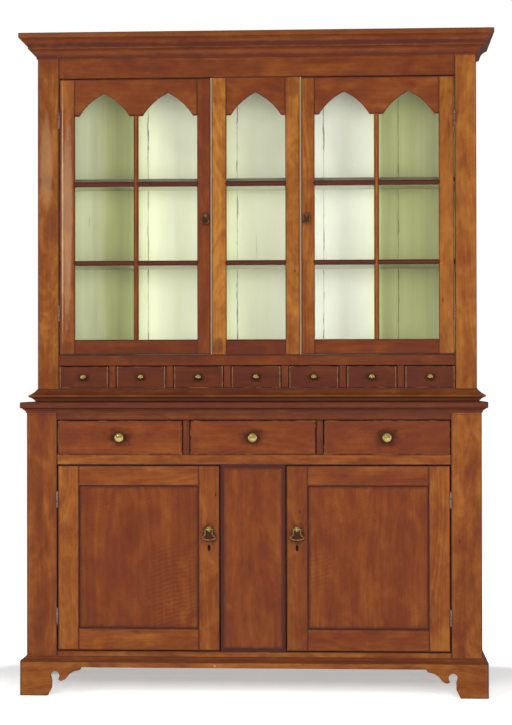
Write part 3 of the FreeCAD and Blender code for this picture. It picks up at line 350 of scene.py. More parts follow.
# old milk paint, cream in the middle of the case and greener on its outer boards: partly faded
# paint, partly painted light in the middle and painted shade outside
def paintMaterial(name, look):
    material, bench = newMaterial(name)
    place = bench.place()
    spot, half, start = (bench.own(key) for key in ("spot", "half", "start"))
    grain = bench.add("VectorMath", {0: spot, 1: start})
    x, depth, z = bench.axes(place)
    wander = bench.cloud(place, (2.0, 2.0, 0.7)) - 0.5
    kept = bench.ramp((x + wander * 0.02 + 0.7) / 1.4,
                      [((at + 0.7) / 1.4, (much / 3,) * 3) for at, much in look["kept"]])
    brushed = bench.cloud(grain, (1.5, 60.0, 60.0), 3.0)
    blotch = bench.cloud(place, (5.0, 5.0, 2.5), 3.0)
    # the mix from cream to deep carries painted light and shade as well as the paint's own fading
    mixShare = kept * 3 + (brushed - 0.5) * 0.55 + (blotch - 0.5) * 0.65
    colour = bench.blend(bench.limit(mixShare), look["cream"], look["soft"])
    colour = bench.blend(bench.limit(mixShare - 1), colour, look["green"])
    colour = bench.blend(bench.limit(mixShare - 2), colour, look["deep"])
    toSeam = bench.axes(half)[1] - abs(bench.axes(spot)[1])
    ragged = bench.cloud(grain, (9.0, 40.0, 40.0), 4.0, 0.7)
    seam = bench.fade(toSeam, 0.0, 0.0006 + 0.005 * bench.span(ragged, 0.48, 0.66))
    colour = bench.blend(seam * 0.95, colour, look["crack"])
    flakes = bench.span(bench.cloud(grain, (7.0, 90.0, 90.0), 4.0), 0.7, 0.78)
    colour = bench.blend(flakes * 0.35, colour, look["crack"])
    # darker along the foot of the back boards, just above the cupboard floor
    footDarkening = bench.fade(z - look["floor"] + (ragged - 0.5) * 0.01, 0.008, 0.022, 0.85)
    colour = bench.blend(footDarkening * bench.span(depth, 0.25, 0.255), colour, look["crack"])
    bump = bench.bump(brushed * 0.6 + ragged * 0.3 - seam, 0.3, 0.0008)
    bench.surface(colour, 0.62 + (brushed - 0.5) * 0.2, bump, {"Specular IOR Level": 0.3})
    return material


def puttyMaterial(name):
    material, bench = newMaterial(name)
    place = bench.place()
    cloud = bench.cloud(place, 60.0, 4.0, 0.6)
    fine = bench.cloud(place, 420.0, 3.0, 0.6)
    colour = bench.blend(bench.limit(cloud * 1.4 - 0.2), (0.5, 0.48, 0.34), (0.3, 0.27, 0.17))
    colour = bench.blend(bench.span(fine, 0.55, 0.75) * 0.5, colour, (0.12, 0.1, 0.06))
    bench.surface(colour, 0.7 + (cloud - 0.5) * 0.2, bench.bump(fine + cloud * 0.5, 0.5, 0.0006))
    return material


def metalMaterial(name, bright, dull, roughness, tarnish, scale=160.0):
    material, bench = newMaterial(name)
    place = bench.place()
    cloud = bench.cloud(place, scale, 4.0, 0.6)
    fine = bench.cloud(place, scale * 7)
    stain = bench.limit(bench.span(cloud, 0.38, 0.68) * tarnish + (fine - 0.5) * 0.15)
    bench.surface(bench.blend(stain, bright, dull), roughness + stain * 0.28,
                  bench.bump(cloud + fine * 0.3, 0.25, 0.0003),
                  {"Metallic": 1.0 - stain * 0.35})
    return material


def glassMaterial(name):
    material, bench = newMaterial(name)
    bump = bench.bump(bench.cloud(bench.place(), (9.0, 9.0, 5.0), 1.0), 0.12, 0.003)
    clear = bench.add("BsdfTransparent", {"Color": (0.99, 0.995, 0.985)})
    shine = bench.add("BsdfGlossy", {"Color": (1, 1, 1), "Roughness": 0.03, "Normal": bump})
    facing = bench.add("Fresnel", {"IOR": 1.45, "Normal": bump})
    inside = bench.add("NewGeometry", out="Backfacing")
    bench.finish(bench.add("MixShader", {0: facing * (1 - inside), 1: clear, 2: shine}))
    return material


finishes = {
    "cherry": woodMaterial("cherry", cherryLook),
    "cherryPanel": woodMaterial("cherryPanel", panelLook),
    "cherryDrawer": woodMaterial("cherryDrawer", drawerLook),
    "cherrySmallDrawer": woodMaterial("cherrySmallDrawer", smallDrawerLook),
    "plainWood": woodMaterial("plainWood", plainWoodLook, finished=False),
    "paint": paintMaterial("oldPaint", paintLook),
    "bareStrip": woodMaterial("bareStrip", bareStripLook, finished=False),
    "blackBrass": metalMaterial(
        "blackBrass", (0.13, 0.1, 0.04), (0.022, 0.015, 0.008), 0.32, 0.85),
    "brass": metalMaterial("brass", (0.33, 0.265, 0.085), (0.12, 0.09, 0.02), 0.2, 0.55, 80.0),
    "darkBrass": metalMaterial(
        "darkBrass", (0.21, 0.15, 0.05), (0.035, 0.02, 0.008), 0.3, 0.85),
    "iron": metalMaterial("iron", (0.22, 0.145, 0.115), (0.06, 0.03, 0.02), 0.5, 0.8),
    "glass": glassMaterial("oldGlass"),
    "putty": puttyMaterial("oldPutty"),
}
slots = {"cherryPanel": "cherry_panel", "bareStrip": "secondary_wood",
         "plainWood": "secondary_wood", "paint": "painted_interior", "brass": "brass",
         "blackBrass": "brass", "darkBrass": "brass", "iron": "iron", "glass": "window_glass"}
print("finishes made:", len(finishes))


# lightness, goldness and curl of single boards, by node and the order of its solids
tones = {
    "lower_face_frame": [(0.08, 0.4, 0.1), (0.01, 0.3, 0.1), (0.08, 0.5, 0), (0.08, 0.38, 0),
                         (-0.2, 0.0, 0), (-0.22, 0.0, 0), (-0.22, 0.0, 0)],
    "lower_center_panel": [(0.02, 0.1, 0.2)],
    "lower_sides": [(0.0, 0.2, 0.1), (0.0, 0.2, 0.1)],
    "lower_top_board": [(-0.22, -0.05, 0)],
    "lower_mouldings": [(0.0, 0.2, 0)] * 3 + [(-0.18, 0.0, 0)] * 3,
    "bracket_feet": [(0.14, 0.4, 0), (0.06, 0.3, 0), (0.04, 0.3, 0)],
    "upper_face_frame": [(0.28, 0.52, 0.2), (-0.02, 0.64, 0), (0.08, 0.3, 0), (-0.1, 0.05, 0),
                         (-0.02, 0.15, 0)] + [(-0.06, 0.05, 0)] * 6,
    "upper_sides": [(0.0, 0.2, 0)] * 2,
    "waist_moulding": [(0.02, 0.15, 0)] * 3,
    "cornice": [(-0.04, 0.12, 0)] * 3,
    "center_sash_frame": [(0.26, 1.0, 0), (0.18, 0.7, 0), (-0.2, -0.05, 0), (0.02, 0.05, 0),
                          (-0.35, -0.2, 0), (-0.35, -0.2, 0)],
    "left_glazed_door_frame": [(-0.03, 0.05, 0), (0.16, 0.4, 0), (-0.18, 0.0, 0),
                               (-0.03, 0.08, 0), (0.02, 0.2, 0)] + [(-0.33, -0.2, 0)] * 4,
    "right_glazed_door_frame": [(0.12, 0.5, 0), (0.26, 0.6, 0), (-0.08, 0.05, 0),
                                (0.06, 0.08, 0), (0.12, 0.4, 0)] + [(-0.33, -0.2, 0)] * 4,
    "left_panel_door_frame": [(0.09, 0.36, 0.1), (0.1, 0.38, 0), (0.12, 0.3, 0),
                              (0.05, 0.25, 0)],
    "right_panel_door_frame": [(0.01, 0.25, 0.1), (0.15, 0.38, 0), (0.02, 0.15, 0),
                               (0.03, 0.1, 0)],
    "left_panel_door_panel": [(0.02, 0.05, 1.0)],
    "right_panel_door_panel": [(0.02, 0.06, 0.6)],
}
for number in range(1, 4):
    tones[f"large_drawer_{number}"] = [(0.11 - 0.05 * number, 0.12 - 0.03 * number, 0.15)]
for number in range(1, 8):
    tones[f"small_drawer_{number}"] = [(-0.27 + 0.02 * (number % 3), -0.05, 0)]


def addObject(name, data):
    made = bpy.data.objects.new(name, data)
    bpy.context.scene.collection.objects.link(made)
    return made


def solidsOf(node):
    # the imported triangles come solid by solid, and a solid ends when every edge is paired
    mesh = frame["nodes"][node].data
    places = [tuple(round(c, 6) for c in vertex.co) for vertex in mesh.vertices]
    solids, current, loose = [], [], set()
    for face in mesh.polygons:
        corners = [places[index] for index in face.vertices]
        current.append(corners)
        for pair in zip(corners, corners[1:] + corners[:1]):
            if pair[0] != pair[1]:
                loose ^= {pair} if pair in loose or pair[::-1] not in loose else {pair[::-1]}
        if not loose:
            solids.append(current)
            current = []
    return solids


def meshOfTriangles(triangles):
    solid = bmesh.new()
    known = {}
    for corners in triangles:
        if len(set(corners)) < 3:
            continue
        for corner in corners:
            if corner not in known:
                known[corner] = solid.verts.new(corner)
        try:
            solid.faces.new([known[corner] for corner in corners])
        except ValueError:
            pass
    bmesh.ops.dissolve_limit(solid, angle_limit=math.radians(0.6), verts=solid.verts[:],
                             edges=solid.edges[:], delimit={"NORMAL"})
    return solid


def extent(points):
    return [[most(point[axis] for point in points) for axis in range(3)] for most in (min, max)]


# lowest, highest and all corners of each solid of a node
def extents(node):
    for triangles in solidsOf(node):
        corners = [corner for triangle in triangles for corner in triangle]
        yield *extent(corners), corners


def boxOf(solid):
    return [Vector(corner) for corner in extent([vertex.co for vertex in solid.verts])]


def closed(solid):
    bmesh.ops.recalc_face_normals(solid, faces=solid.faces[:])
    return solid


def cutLevel(solid, z):
    bmesh.ops.bisect_plane(solid, geom=solid.verts[:] + solid.edges[:] + solid.faces[:],
                           dist=1e-6, plane_co=(0, 0, z), plane_no=(0, 0, 1))


# faces between two rings, either of which may be a single point
def bridge(solid, first, second):
    count = max(len(first), len(second))
    for step in range(count):
        following = (step + 1) % count
        corners = (first[step % len(first)], first[following % len(first)],
                   second[following % len(second)], second[step % len(second)])
        solid.faces.new(list(dict.fromkeys(corners)))


def bevelEdges(solid, edges, width, segments):
    if edges:
        bmesh.ops.bevel(solid, geom=edges, offset=width, segments=segments, profile=0.5,
                        affect="EDGES", clamp_overlap=True)


def easeArrises(solid, width, segments=2):
    bevelEdges(solid, [edge for edge in solid.edges if len(edge.link_faces) == 2
                       and edge.calc_face_angle(0) > math.radians(35)], width, segments)


def camel(name):
    words = name.split("_")
    return words[0] + "".join(word.capitalize() for word in words[1:])


bodyOf = {member: body for body, members in frame["record"]["behaviour"]["bodies"].items()
          for member in members}
boardCounts = []


class Piece:
    # gathers the boards and fittings that stand for a CAD node
    def __init__(self, node):
        self.node, self.name, self.boards = node, camel(node), 0
        self.vertices, self.faces, self.finish = [], [], []
        self.marks = {key: [] for key in ("spot", "half", "start", "tone", "stain", "carved")}

    def addBoard(self, solid, finish, seed, tone=(0, 0, 0), paint=None, stain=None, lined=False):
        low, high = boxOf(solid)
        size = high - low
        axes = sorted(range(3), key=lambda axis: -size[axis])
        # a tenon is hidden, so a rail is measured on its front face
        face = [vertex.co for vertex in solid.verts if vertex.co[1] < low[1] + 0.003]
        for axis in (0, 2):
            shown = (min(p[axis] for p in face), max(p[axis] for p in face))
            if (shown[1] - shown[0]) > 0.75 * size[axis]:
                low[axis], high[axis] = shown
        size = high - low
        middle = (low + high) / 2
        handDirtAndShadow = (0.0, 0.0, 0.0)
        if stain:
            centre, reach = stain
            handDirtAndShadow = (*(centre[axis] - middle[axis] for axis in axes[:2]), reach)
        chance = random.Random(seed)
        start = (chance.uniform(-40, 40), chance.uniform(-0.09, 0.09), chance.uniform(0, 0.05))
        half = [size[axis] / 2 for axis in axes]
        first = len(self.vertices)
        self.boards += 1
        solid.verts.ensure_lookup_table()
        solid.verts.index_update()
        for vertex in solid.verts:
            self.vertices.append(vertex.co.copy())
            away = vertex.co - middle
            carved = self.carving(vertex, axes[0]) if lined else (0, 0, 0)
            marks = ([away[axis] for axis in axes], half, start, tone, handDirtAndShadow, carved)
            for values, mark in zip(self.marks.values(), marks):
                values.append(mark)
        for face in solid.faces:
            self.faces.append([first + vertex.index for vertex in face.verts])
            self.finish.append("paint" if paint and paint(face) else finish)
        solid.free()

    # how hollow or proud a moulding is at a point, from the edges that run along it
    def carving(self, vertex, axis):
        turns = []
        for edge in vertex.link_edges:
            a, b = (end.co for end in edge.verts)
            if len(edge.link_faces) == 2 and abs(b[axis] - a[axis]) > 0.2:
                turns.append(edge.calc_face_angle_signed(0))
        if not turns:
            return (0, 0, 0)
        return (min(1, max(0, -min(turns)) / 0.6), min(1, max(0, max(turns)) / 0.9), 0)

    def build(self, sharp=20):
        mesh = bpy.data.meshes.new(self.name)
        mesh.from_pydata(self.vertices, [], self.faces)
        names = sorted(set(self.finish))
        for name in names:
            mesh.materials.append(finishes[name])
        mesh.polygons.foreach_set("material_index", [names.index(name) for name in self.finish])
        mesh.polygons.foreach_set("use_smooth", [True] * len(self.faces))
        for key, values in self.marks.items():
            layer = mesh.attributes.new(key, "FLOAT_VECTOR", "POINT")
            layer.data.foreach_set("vector", [number for value in values for number in value])
        mesh.validate()
        mesh.update()
        mesh.set_sharp_from_angle(angle=math.radians(sharp))
        made = addObject(self.name, mesh)
        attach(made, bodyOf[self.node])
        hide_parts(self.node)
        slots.get(names[0], "cherry")


# heights and faces that several pieces share
caseLevels = {
    "upperFront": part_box("upper_face_frame")[0][1],
    "lowerFront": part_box("lower_face_frame")[0][1],
    "cupboardFloor": 1.1125,
    "sightBottom": 1.1645,
    "shoulder": 1.9205,
    "apex": 1.9975,
    "caseTop": 2.18,
}

# wood darkened by hands, also painted shadow of the fitting: the middle and reach of the patch on
# a node's first board
handDirtAndShadowSpots = {}
for side in ("left", "right"):
    for case, door, reach in (("lower", "panel", 0.04), ("upper", "glazed", 0.026)):
        low, high = (Vector(corner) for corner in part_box(f"{side}_{case}_latch_bail"))
        handDirtAndShadowSpots[f"{side}_{door}_door_frame"] = ((low + high) / 2, reach)
for kind, count, reach in (("large", 3, 0.048), ("small", 7, 0.025)):
    for number in range(1, count + 1):
        handDirtAndShadowSpots[f"{kind}_drawer_{number}"] = (
            sum((Vector(corner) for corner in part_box(f"{kind}_knob_{number}")), Vector()) / 2,
            reach)


def woodPiece(node, finish="cherry", arris=0.001, segments=2, shape=None, rest=None,
              paint=None, extra=None, lined=False):
    piece = Piece(node)
    boardTones = tones.get(node, [])
    for index, triangles in enumerate(solidsOf(node)):
        solid = meshOfTriangles(triangles)
        if shape and shape(piece, index, solid):
            continue
        low, high = boxOf(solid)
        easeArrises(solid, min(arris, min(high - low) / 6), segments)
        chance = random.Random(f"{node}{index}")
        tone = boardTones[index] if index < len(boardTones) else (
            chance.uniform(-0.06, 0.06), chance.uniform(0.0, 0.25), 0.0)
        stain = handDirtAndShadowSpots.get(node)
        if stain and not all(low[axis] < stain[0][axis] < high[axis] for axis in (0, 2)) \
                or low[1] > caseLevels["upperFront"] + 0.01:
            stain = None
        piece.addBoard(solid, rest if rest and index else finish, f"{node}{index}", tone,
                       paint, stain, lined)
    boardCounts.append(piece.boards)
    if extra:
        extra(piece)
    piece.build()


# glazed frames: moulded edges round the panes, and moulded glazing bars
sash = {
    "moulding": 0.0062,
    "mouldingSteps": 4,
    "bar": 0.016,
    "barFlat": 0.0022,
    "tongue": 0.004,
    "rabbetDepth": 0.012,
    "depth": 0.022,
    "coped": 0.005,
    "uprightPast": 0.002,
}
frameMiddles = (-0.4085, 0.0, 0.4085)


def barSection():
    # half outline of a glazing bar: (across, back from the face)
    half = sash["bar"] / 2
    radius = half - sash["barFlat"]
    points = [(0, 0), (sash["barFlat"], 0)]
    for step in range(1, 6):
        turn = math.radians(90 * step / 5)
        points.append((sash["barFlat"] + radius * math.sin(turn),
                       radius * (1 - math.cos(turn)) + 0.0006))
    points += [(half, sash["rabbetDepth"]), (sash["tongue"] / 2, sash["rabbetDepth"]),
               (sash["tongue"] / 2, sash["depth"])]
    return points + [(-u, v) for u, v in reversed(points) if u > 0]


def sweptBar(low, high, axis):
    # a moulded bar along x or z through the middle of its CAD box
    middle = (low + high) / 2
    across = 2 - axis
    past = sash["uprightPast"] if axis == 2 else sash["coped"]
    solid = bmesh.new()
    rings = []
    for end in (low[axis] - past, high[axis] + past):
        ring = []
        for u, v in barSection():
            place = Vector((0, low[1] + v, 0))
            place[axis] = end
            place[across] = middle[across] + u
            ring.append(solid.verts.new(place))
        rings.append(ring)
    bridge(solid, *rings)
    for ring in rings:
        solid.faces.new(ring)
    return closed(solid)


def mouldedEdges(solid):
    # run the ovolo along the front edges that border the glass
    front, bottom, shoulder, apex = (
        caseLevels[key] for key in ("upperFront", "sightBottom", "shoulder", "apex"))
    low, high = boxOf(solid)
    upright = (high - low)[2] > (high - low)[0]
    if upright:
        for z in (bottom - 0.004, shoulder + 0.004):
            cutLevel(solid, z)
    chosen = []
    sashMiddle = min(frameMiddles, key=lambda middle: abs(middle - (low[0] + high[0]) / 2))
    innerX = min(low[0], high[0], key=lambda x: abs(x - sashMiddle))
    for edge in solid.edges:
        a, b = (vertex.co for vertex in edge.verts)
        if abs(a[1] - front) > 1e-5 or abs(b[1] - front) > 1e-5 or len(edge.link_faces) != 2:
            continue
        if edge.calc_face_angle(0) < math.radians(60):
            continue
        middle = (a + b) / 2
        if upright:
            inside = (abs(middle[0] - innerX) < 1e-5
                      and bottom - 0.005 < middle[2] < shoulder + 0.005)
        elif high[2] < bottom + 0.01:
            inside = abs(middle[2] - high[2]) < 1e-5
        else:
            inside = abs(a[0] - b[0]) > 1e-6 and middle[2] < max(high[2] - 0.03, apex)
        if inside:
            chosen.append(edge)
    bevelEdges(solid, chosen, sash["moulding"], sash["mouldingSteps"])


def sashShape(piece, index, solid):
    low, high = boxOf(solid)
    size = high - low
    if min(size[0], size[2]) < sash["bar"] + 0.001:
        solid.free()
        piece.addBoard(sweptBar(low, high, 2 if size[2] > size[0] else 0), "cherry",
                       f"{piece.node}{index}", tones[piece.node][index])
        return True
    mouldedEdges(solid)


stops = {"reach": 0.0049, "tucked": 0.0006, "front": -0.04, "back": -0.0225, "short": 0.001}


def addStops(piece):
    # a bare strip each side of the fixed sash, which the doors close beside
    low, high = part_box("center_sash_frame")
    for sign in (-1, 1):
        near, far = sign * high[0] - sign * stops["tucked"], sign * (high[0] + stops["reach"])
        strip = bmesh.new()
        bmesh.ops.create_cube(strip, size=1.0)
        for vertex in strip.verts:
            x, y, z = vertex.co
            vertex.co = (far if x * sign > 0 else near, stops["back" if y > 0 else "front"],
                         high[2] - stops["short"] if z > 0 else low[2] + stops["short"])
        easeArrises(closed(strip), 0.0004)
        piece.addBoard(strip, "bareStrip", f"stop{sign}", (0.45, 0.5, 0))


for node in ("left_glazed_door_frame", "right_glazed_door_frame", "center_sash_frame"):
    woodPiece(node, shape=sashShape, arris=0.0008,
              extra=addStops if node == "center_sash_frame" else None)
print("glazed frames made")


# cases, mouldings, panelled doors and drawers
def paintedInside(face):
    middle = face.calc_center_median()
    return (abs(face.normal[0]) > 0.7 and face.normal[0] * middle[0] < 0
            and middle[2] > caseLevels["cupboardFloor"])


def upperSideSplit(piece, index, solid):
    # the paint stops at the cupboard floor
    cutLevel(solid, caseLevels["cupboardFloor"])


woodPiece("lower_sides")
woodPiece("lower_face_frame", arris=0.0014)
woodPiece("lower_center_panel", "cherryPanel", arris=0.0014)
woodPiece("lower_top_board", arris=0.0035, segments=3)
woodPiece("lower_mouldings", arris=0.0007, lined=True)
woodPiece("bracket_feet", arris=0.0014)
woodPiece("upper_sides", shape=upperSideSplit, paint=paintedInside)
woodPiece("upper_face_frame", arris=0.0012)
woodPiece("waist_moulding", arris=0.0008, lined=True)
woodPiece("cornice", arris=0.001, lined=True)
for side in ("left", "right"):
    woodPiece(f"{side}_panel_door_frame", arris=0.0013)
    woodPiece(f"{side}_panel_door_panel", "cherryPanel", arris=0.0007)


nails = {"radius": 0.0036, "height": 0.0006, "fromEdge": 0.026, "planed": 0.0004}


def planedBack(piece, index, solid):
    # leaves room for the nail heads behind
    back = boxOf(solid)[1][1]
    for vertex in solid.verts:
        if vertex.co[1] > back - 1e-5:
            vertex.co[1] = back - nails["planed"]


def paintedBoard(face):
    # shelves and linings are painted, the drawers' floor and the top of the case are bare
    z = face.calc_center_median()[2]
    onTop = face.normal[2] > 0.3 and z > caseLevels["caseTop"]
    return z > caseLevels["cupboardFloor"] - 0.01 and not onTop


def paintedFront(face):
    return (face.normal[1] < 0.3
            and face.calc_center_median()[2] > caseLevels["cupboardFloor"] - 0.8)


woodPiece("lower_inner_boards", "plainWood")
woodPiece("lower_back_boards", "plainWood", arris=0.0016, shape=planedBack)
woodPiece("drawer_guides", "plainWood", arris=0.0006)
woodPiece("upper_boards", "plainWood", paint=paintedBoard)
woodPiece("upper_back_boards", "plainWood", arris=0.0016, shape=planedBack, paint=paintedFront)
for number in range(1, 4):
    woodPiece(f"large_drawer_{number}", "cherryDrawer", arris=0.0012, rest="plainWood")
for number in range(1, 8):
    woodPiece(f"small_drawer_{number}", "cherrySmallDrawer", arris=0.0012, rest="plainWood")
print("case, doors and drawers made")


# turned and bent metal
def turnedSolid(profile, centre, steps):
    # profile is (radius, y) from the front backwards, turned about the y axis
    solid = bmesh.new()
    rings = []
    for radius, y in profile:
        turns = [2 * math.pi * step / steps for step in range(steps if radius > 1e-6 else 1)]
        rings.append([solid.verts.new((centre[0] + radius * math.cos(turn), centre[1] + y,
                                       centre[2] + radius * math.sin(turn))) for turn in turns])
    for first, second in zip(rings, rings[1:]):
        bridge(solid, first, second)
    return closed(solid)


def arcPoints(centre, radii, start, end, steps):
    points = []
    for step in range(steps + 1):
        turn = math.radians(start + (end - start) * step / steps)
        points.append((centre[0] + radii[0] * math.cos(turn),
                       centre[1] + radii[1] * math.sin(turn)))
    return points


knobs = {
    "large": {"radius": 0.016, "reach": 0.03, "neck": 0.0055, "flange": 0.0095, "nut": 0.006},
    "small": {"radius": 0.01, "reach": 0.019, "neck": 0.0038, "flange": 0.0062, "nut": 0.006},
}


def knobProfile(size):
    radius, reach = size["radius"], size["reach"]
    ballMiddle = -reach + radius * 0.62
    points = [(0, -reach)]
    points += arcPoints((0, ballMiddle), (radius, radius * 0.62), -88, 0, 12)
    points += arcPoints((0, ballMiddle), (radius, radius * 0.78), 4, 62, 9)
    waist = points[-1]
    neckY = -0.0055
    points += [(size["neck"] + (waist[0] - size["neck"]) * 0.35, waist[1] + 0.001),
               (size["neck"], (waist[1] + neckY) / 2), (size["neck"], neckY),
               (size["neck"] + 0.0012, neckY + 0.0008), (size["neck"] + 0.0012, neckY + 0.0016),
               (size["flange"] - 0.001, -0.0024), (size["flange"], -0.0016),
               (size["flange"], 0.0), (0.0025, 0.0), (0.0025, 0.026), (0, 0.026)]
    return points


def nutSolid(centre, radius, y0, y1):
    solid = bmesh.new()
    turns = [math.radians(60 * k) for k in range(6)]
    rings = [[solid.verts.new((centre[0] + radius * math.cos(turn), y,
                               centre[2] + radius * math.sin(turn))) for turn in turns]
             for y in (y0, y1)]
    bridge(solid, *rings)
    for ring in rings:
        solid.faces.new(ring)
    easeArrises(closed(solid), 0.0004)
    return solid


for kind, count in (("large", 3), ("small", 7)):
    size = knobs[kind]
    for number in range(1, count + 1):
        node = f"{kind}_knob_{number}"
        low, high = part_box(node)
        face = low[1] + size["reach"]
        centre = Vector(((low[0] + high[0]) / 2, face, (low[2] + high[2]) / 2))
        piece = Piece(node)
        piece.addBoard(turnedSolid(knobProfile(size), centre, 48), "brass", node)
        piece.addBoard(nutSolid(centre, size["nut"], face + 0.02, face + 0.024),
                       "darkBrass", node + "nut")
        piece.build(sharp=42)

latches = {
    "lower": {"collar": 0.009, "barrel": 0.006, "barrelHalf": 0.0095, "shaft": 0.0035,
              "bailHalf": 0.0225, "bailDrop": 0.034, "wire": 0.00225, "swell": 1.2,
              "finish": "brass", "bailFinish": "darkBrass"},
    "upper": {"collar": 0.0065, "barrel": 0.0045, "barrelHalf": 0.007, "shaft": 0.0025,
              "bailHalf": 0.0135, "bailDrop": 0.027, "wire": 0.0016, "swell": 1.15,
              "finish": "darkBrass", "bailFinish": "blackBrass"},
}


def barrelSolid(size, centre):
    # the cross piece with a small ball at each end, turned about x
    half, radius = size["barrelHalf"], size["barrel"]
    profile = [(0, -half), (radius * 0.55, -half + 0.0006), (radius * 0.62, -half * 0.82),
               (radius * 0.45, -half * 0.62), (radius * 0.75, -half * 0.5),
               (radius * 0.98, -half * 0.25), (radius, 0)]
    profile += [(r, -y) for r, y in reversed(profile[:-1])]
    solid = turnedSolid(profile, (0, 0, 0), 32)
    bmesh.ops.transform(solid, verts=solid.verts[:],
                        matrix=Matrix.Translation(centre) @ Matrix.Rotation(math.pi / 2, 4, "Z"))
    return solid


def spindleSolid(size, face, centre, barrelY):
    collar, shaft = size["collar"], size["shaft"]
    profile = [(0, barrelY - size["barrel"] * 0.9), (shaft * 0.7, barrelY - size["barrel"] * 0.85),
               (shaft + 0.001, barrelY - size["barrel"] * 0.55), (shaft + 0.001, -0.0042),
               (shaft + 0.0018, -0.0034), (shaft + 0.0018, -0.0028),
               (collar * 0.72, -0.0026), (collar * 0.78, -0.0021), (collar * 0.92, -0.0019),
               (collar, -0.0011), (collar, -0.0001), (shaft, -0.0001), (shaft, 0.0223),
               (0, 0.0223)]
    return turnedSolid(profile, (centre[0], face, centre[2]), 36)


def tongueSolid(node, index):
    solid = meshOfTriangles(solidsOf(node)[index])
    easeArrises(solid, 0.001, 3)
    return solid


def bailCurve(name, size, centre):
    # bent wire: narrow below the barrel, then flaring to a thicker grip
    half, drop, hip = size["bailHalf"], size["bailDrop"], size["barrelHalf"] + 0.0032
    side = [(size["barrelHalf"] - 0.003, 0.0), (hip * 0.93, -0.01 * drop), (hip, -0.1 * drop),
            (hip * 0.93, -0.32 * drop), (hip * 1.02, -0.52 * drop), (half * 0.82, -0.69 * drop),
            (half * 0.985, -0.78 * drop), (half * 0.9, -0.86 * drop), (half * 0.66, -0.94 * drop),
            (half * 0.34, -0.985 * drop), (0.0, -drop)]
    control = [Vector(point) for point in side]
    control += [Vector((-x, y)) for x, y in reversed(side[:-1])]
    points = []
    for index in range(len(control) - 1):
        a, b = control[max(index - 1, 0)], control[index]
        c, d = control[index + 1], control[min(index + 2, len(control) - 1)]
        for step in range(4):
            t = step / 4
            points.append(0.5 * (2 * b + (c - a) * t + (2 * a - 5 * b + 4 * c - d) * t * t
                                 + (3 * b - a - 3 * c + d) * t ** 3))
    points.append(control[-1])
    curve = bpy.data.curves.new(name, "CURVE")
    curve.dimensions = "3D"
    curve.bevel_depth = size["wire"]
    curve.bevel_resolution = 6
    curve.use_fill_caps = True
    spline = curve.splines.new("POLY")
    spline.points.add(len(points) - 1)
    for point, target in zip(points, spline.points):
        grip = 1 - min(1, abs(point.x) / half)
        low = max(0.0, -point.y / drop)
        swell = (size["swell"] - 1) * math.sin(grip * math.pi / 2) * (low > 0.7)
        target.co = (centre[0] + point.x, centre[1] - swell * size["wire"],
                     centre[2] + point.y, 1)
        target.radius = 1 + swell
    holder = addObject(name, curve)
    bpy.context.view_layer.update()
    evaluated = holder.evaluated_get(bpy.context.evaluated_depsgraph_get())
    mesh = bpy.data.meshes.new_from_object(evaluated)
    bpy.data.objects.remove(holder)
    solid = bmesh.new()
    solid.from_mesh(mesh)
    bmesh.ops.remove_doubles(solid, verts=solid.verts[:], dist=1e-6)
    return closed(solid)


for case, size in latches.items():
    for side in ("left", "right"):
        spindleNode, bailNode = f"{side}_{case}_latch_spindle", f"{side}_{case}_latch_bail"
        face = caseLevels[f"{case}Front"]
        low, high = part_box(bailNode)
        centre = Vector(((low[0] + high[0]) / 2, (low[1] + high[1]) / 2, high[2] - size["wire"]))
        piece = Piece(spindleNode)
        piece.addBoard(spindleSolid(size, face, centre, centre[1] - face), size["finish"],
                       spindleNode)
        piece.addBoard(barrelSolid(size, centre), size["finish"], spindleNode + "barrel")
        piece.addBoard(tongueSolid(spindleNode, 1), "iron", spindleNode + "tongue")
        piece.build(sharp=42)
        bail = Piece(bailNode)
        bail.addBoard(bailCurve(bailNode, size, centre), size["bailFinish"], bailNode)
        bail.build(sharp=50)


def fittingPiece(node, finish, arris):
    piece = Piece(node)
    for index, triangles in enumerate(solidsOf(node)):
        solid = meshOfTriangles(triangles)
        low, high = boxOf(solid)
        easeArrises(solid, min(arris, min(high - low) / 6))
        piece.addBoard(solid, finish, f"{node}{index}")
    piece.build(sharp=32)


fittingPiece("case_hinges", "iron", 0.0004)
for side in ("left", "right"):
    fittingPiece(f"{side}_glazed_door_hinges", "iron", 0.0004)
    fittingPiece(f"{side}_panel_door_hardware", "iron", 0.0005)
    fittingPiece(f"{side}_lock_bolt", "darkBrass", 0.0006)
print("knobs, latches, hinges and locks made")


# panes of old glass, a little uneven
paneLook = {"across": 20, "up": 26, "ripple": 0.00035, "waves": 9.0}


def rippledPane(low, high, seed):
    solid = bmesh.new()
    shift = Vector((seed * 3.7, seed * 1.3, seed * 5.1))
    nx, nz = paneLook["across"], paneLook["up"]
    sheets = []
    for y, sign in ((low[1], 1), (high[1], -1)):
        grid = []
        for row in range(nz + 1):
            line = []
            for column in range(nx + 1):
                x = low[0] + (high[0] - low[0]) * column / nx
                z = low[2] + (high[2] - low[2]) * row / nz
                wave = noise.noise(Vector((x, y * 20, z)) * paneLook["waves"] + shift)
                edge = min(column, nx - column, row, nz - row) > 0
                depth = sign * paneLook["ripple"] * (0.5 + 0.5 * wave) * edge
                line.append(solid.verts.new((x, y + depth, z)))
            grid.append(line)
        sheets.append(grid)
    for grid in sheets:
        for row in range(nz):
            for column in range(nx):
                solid.faces.new((grid[row][column], grid[row][column + 1],
                                 grid[row + 1][column + 1], grid[row + 1][column]))
    rims = []
    for grid in sheets:
        rims.append(grid[0] + [line[-1] for line in grid[1:]] + grid[-1][-2::-1]
                    + [line[0] for line in grid[-2:0:-1]])
    bridge(solid, *rims)
    return closed(solid)


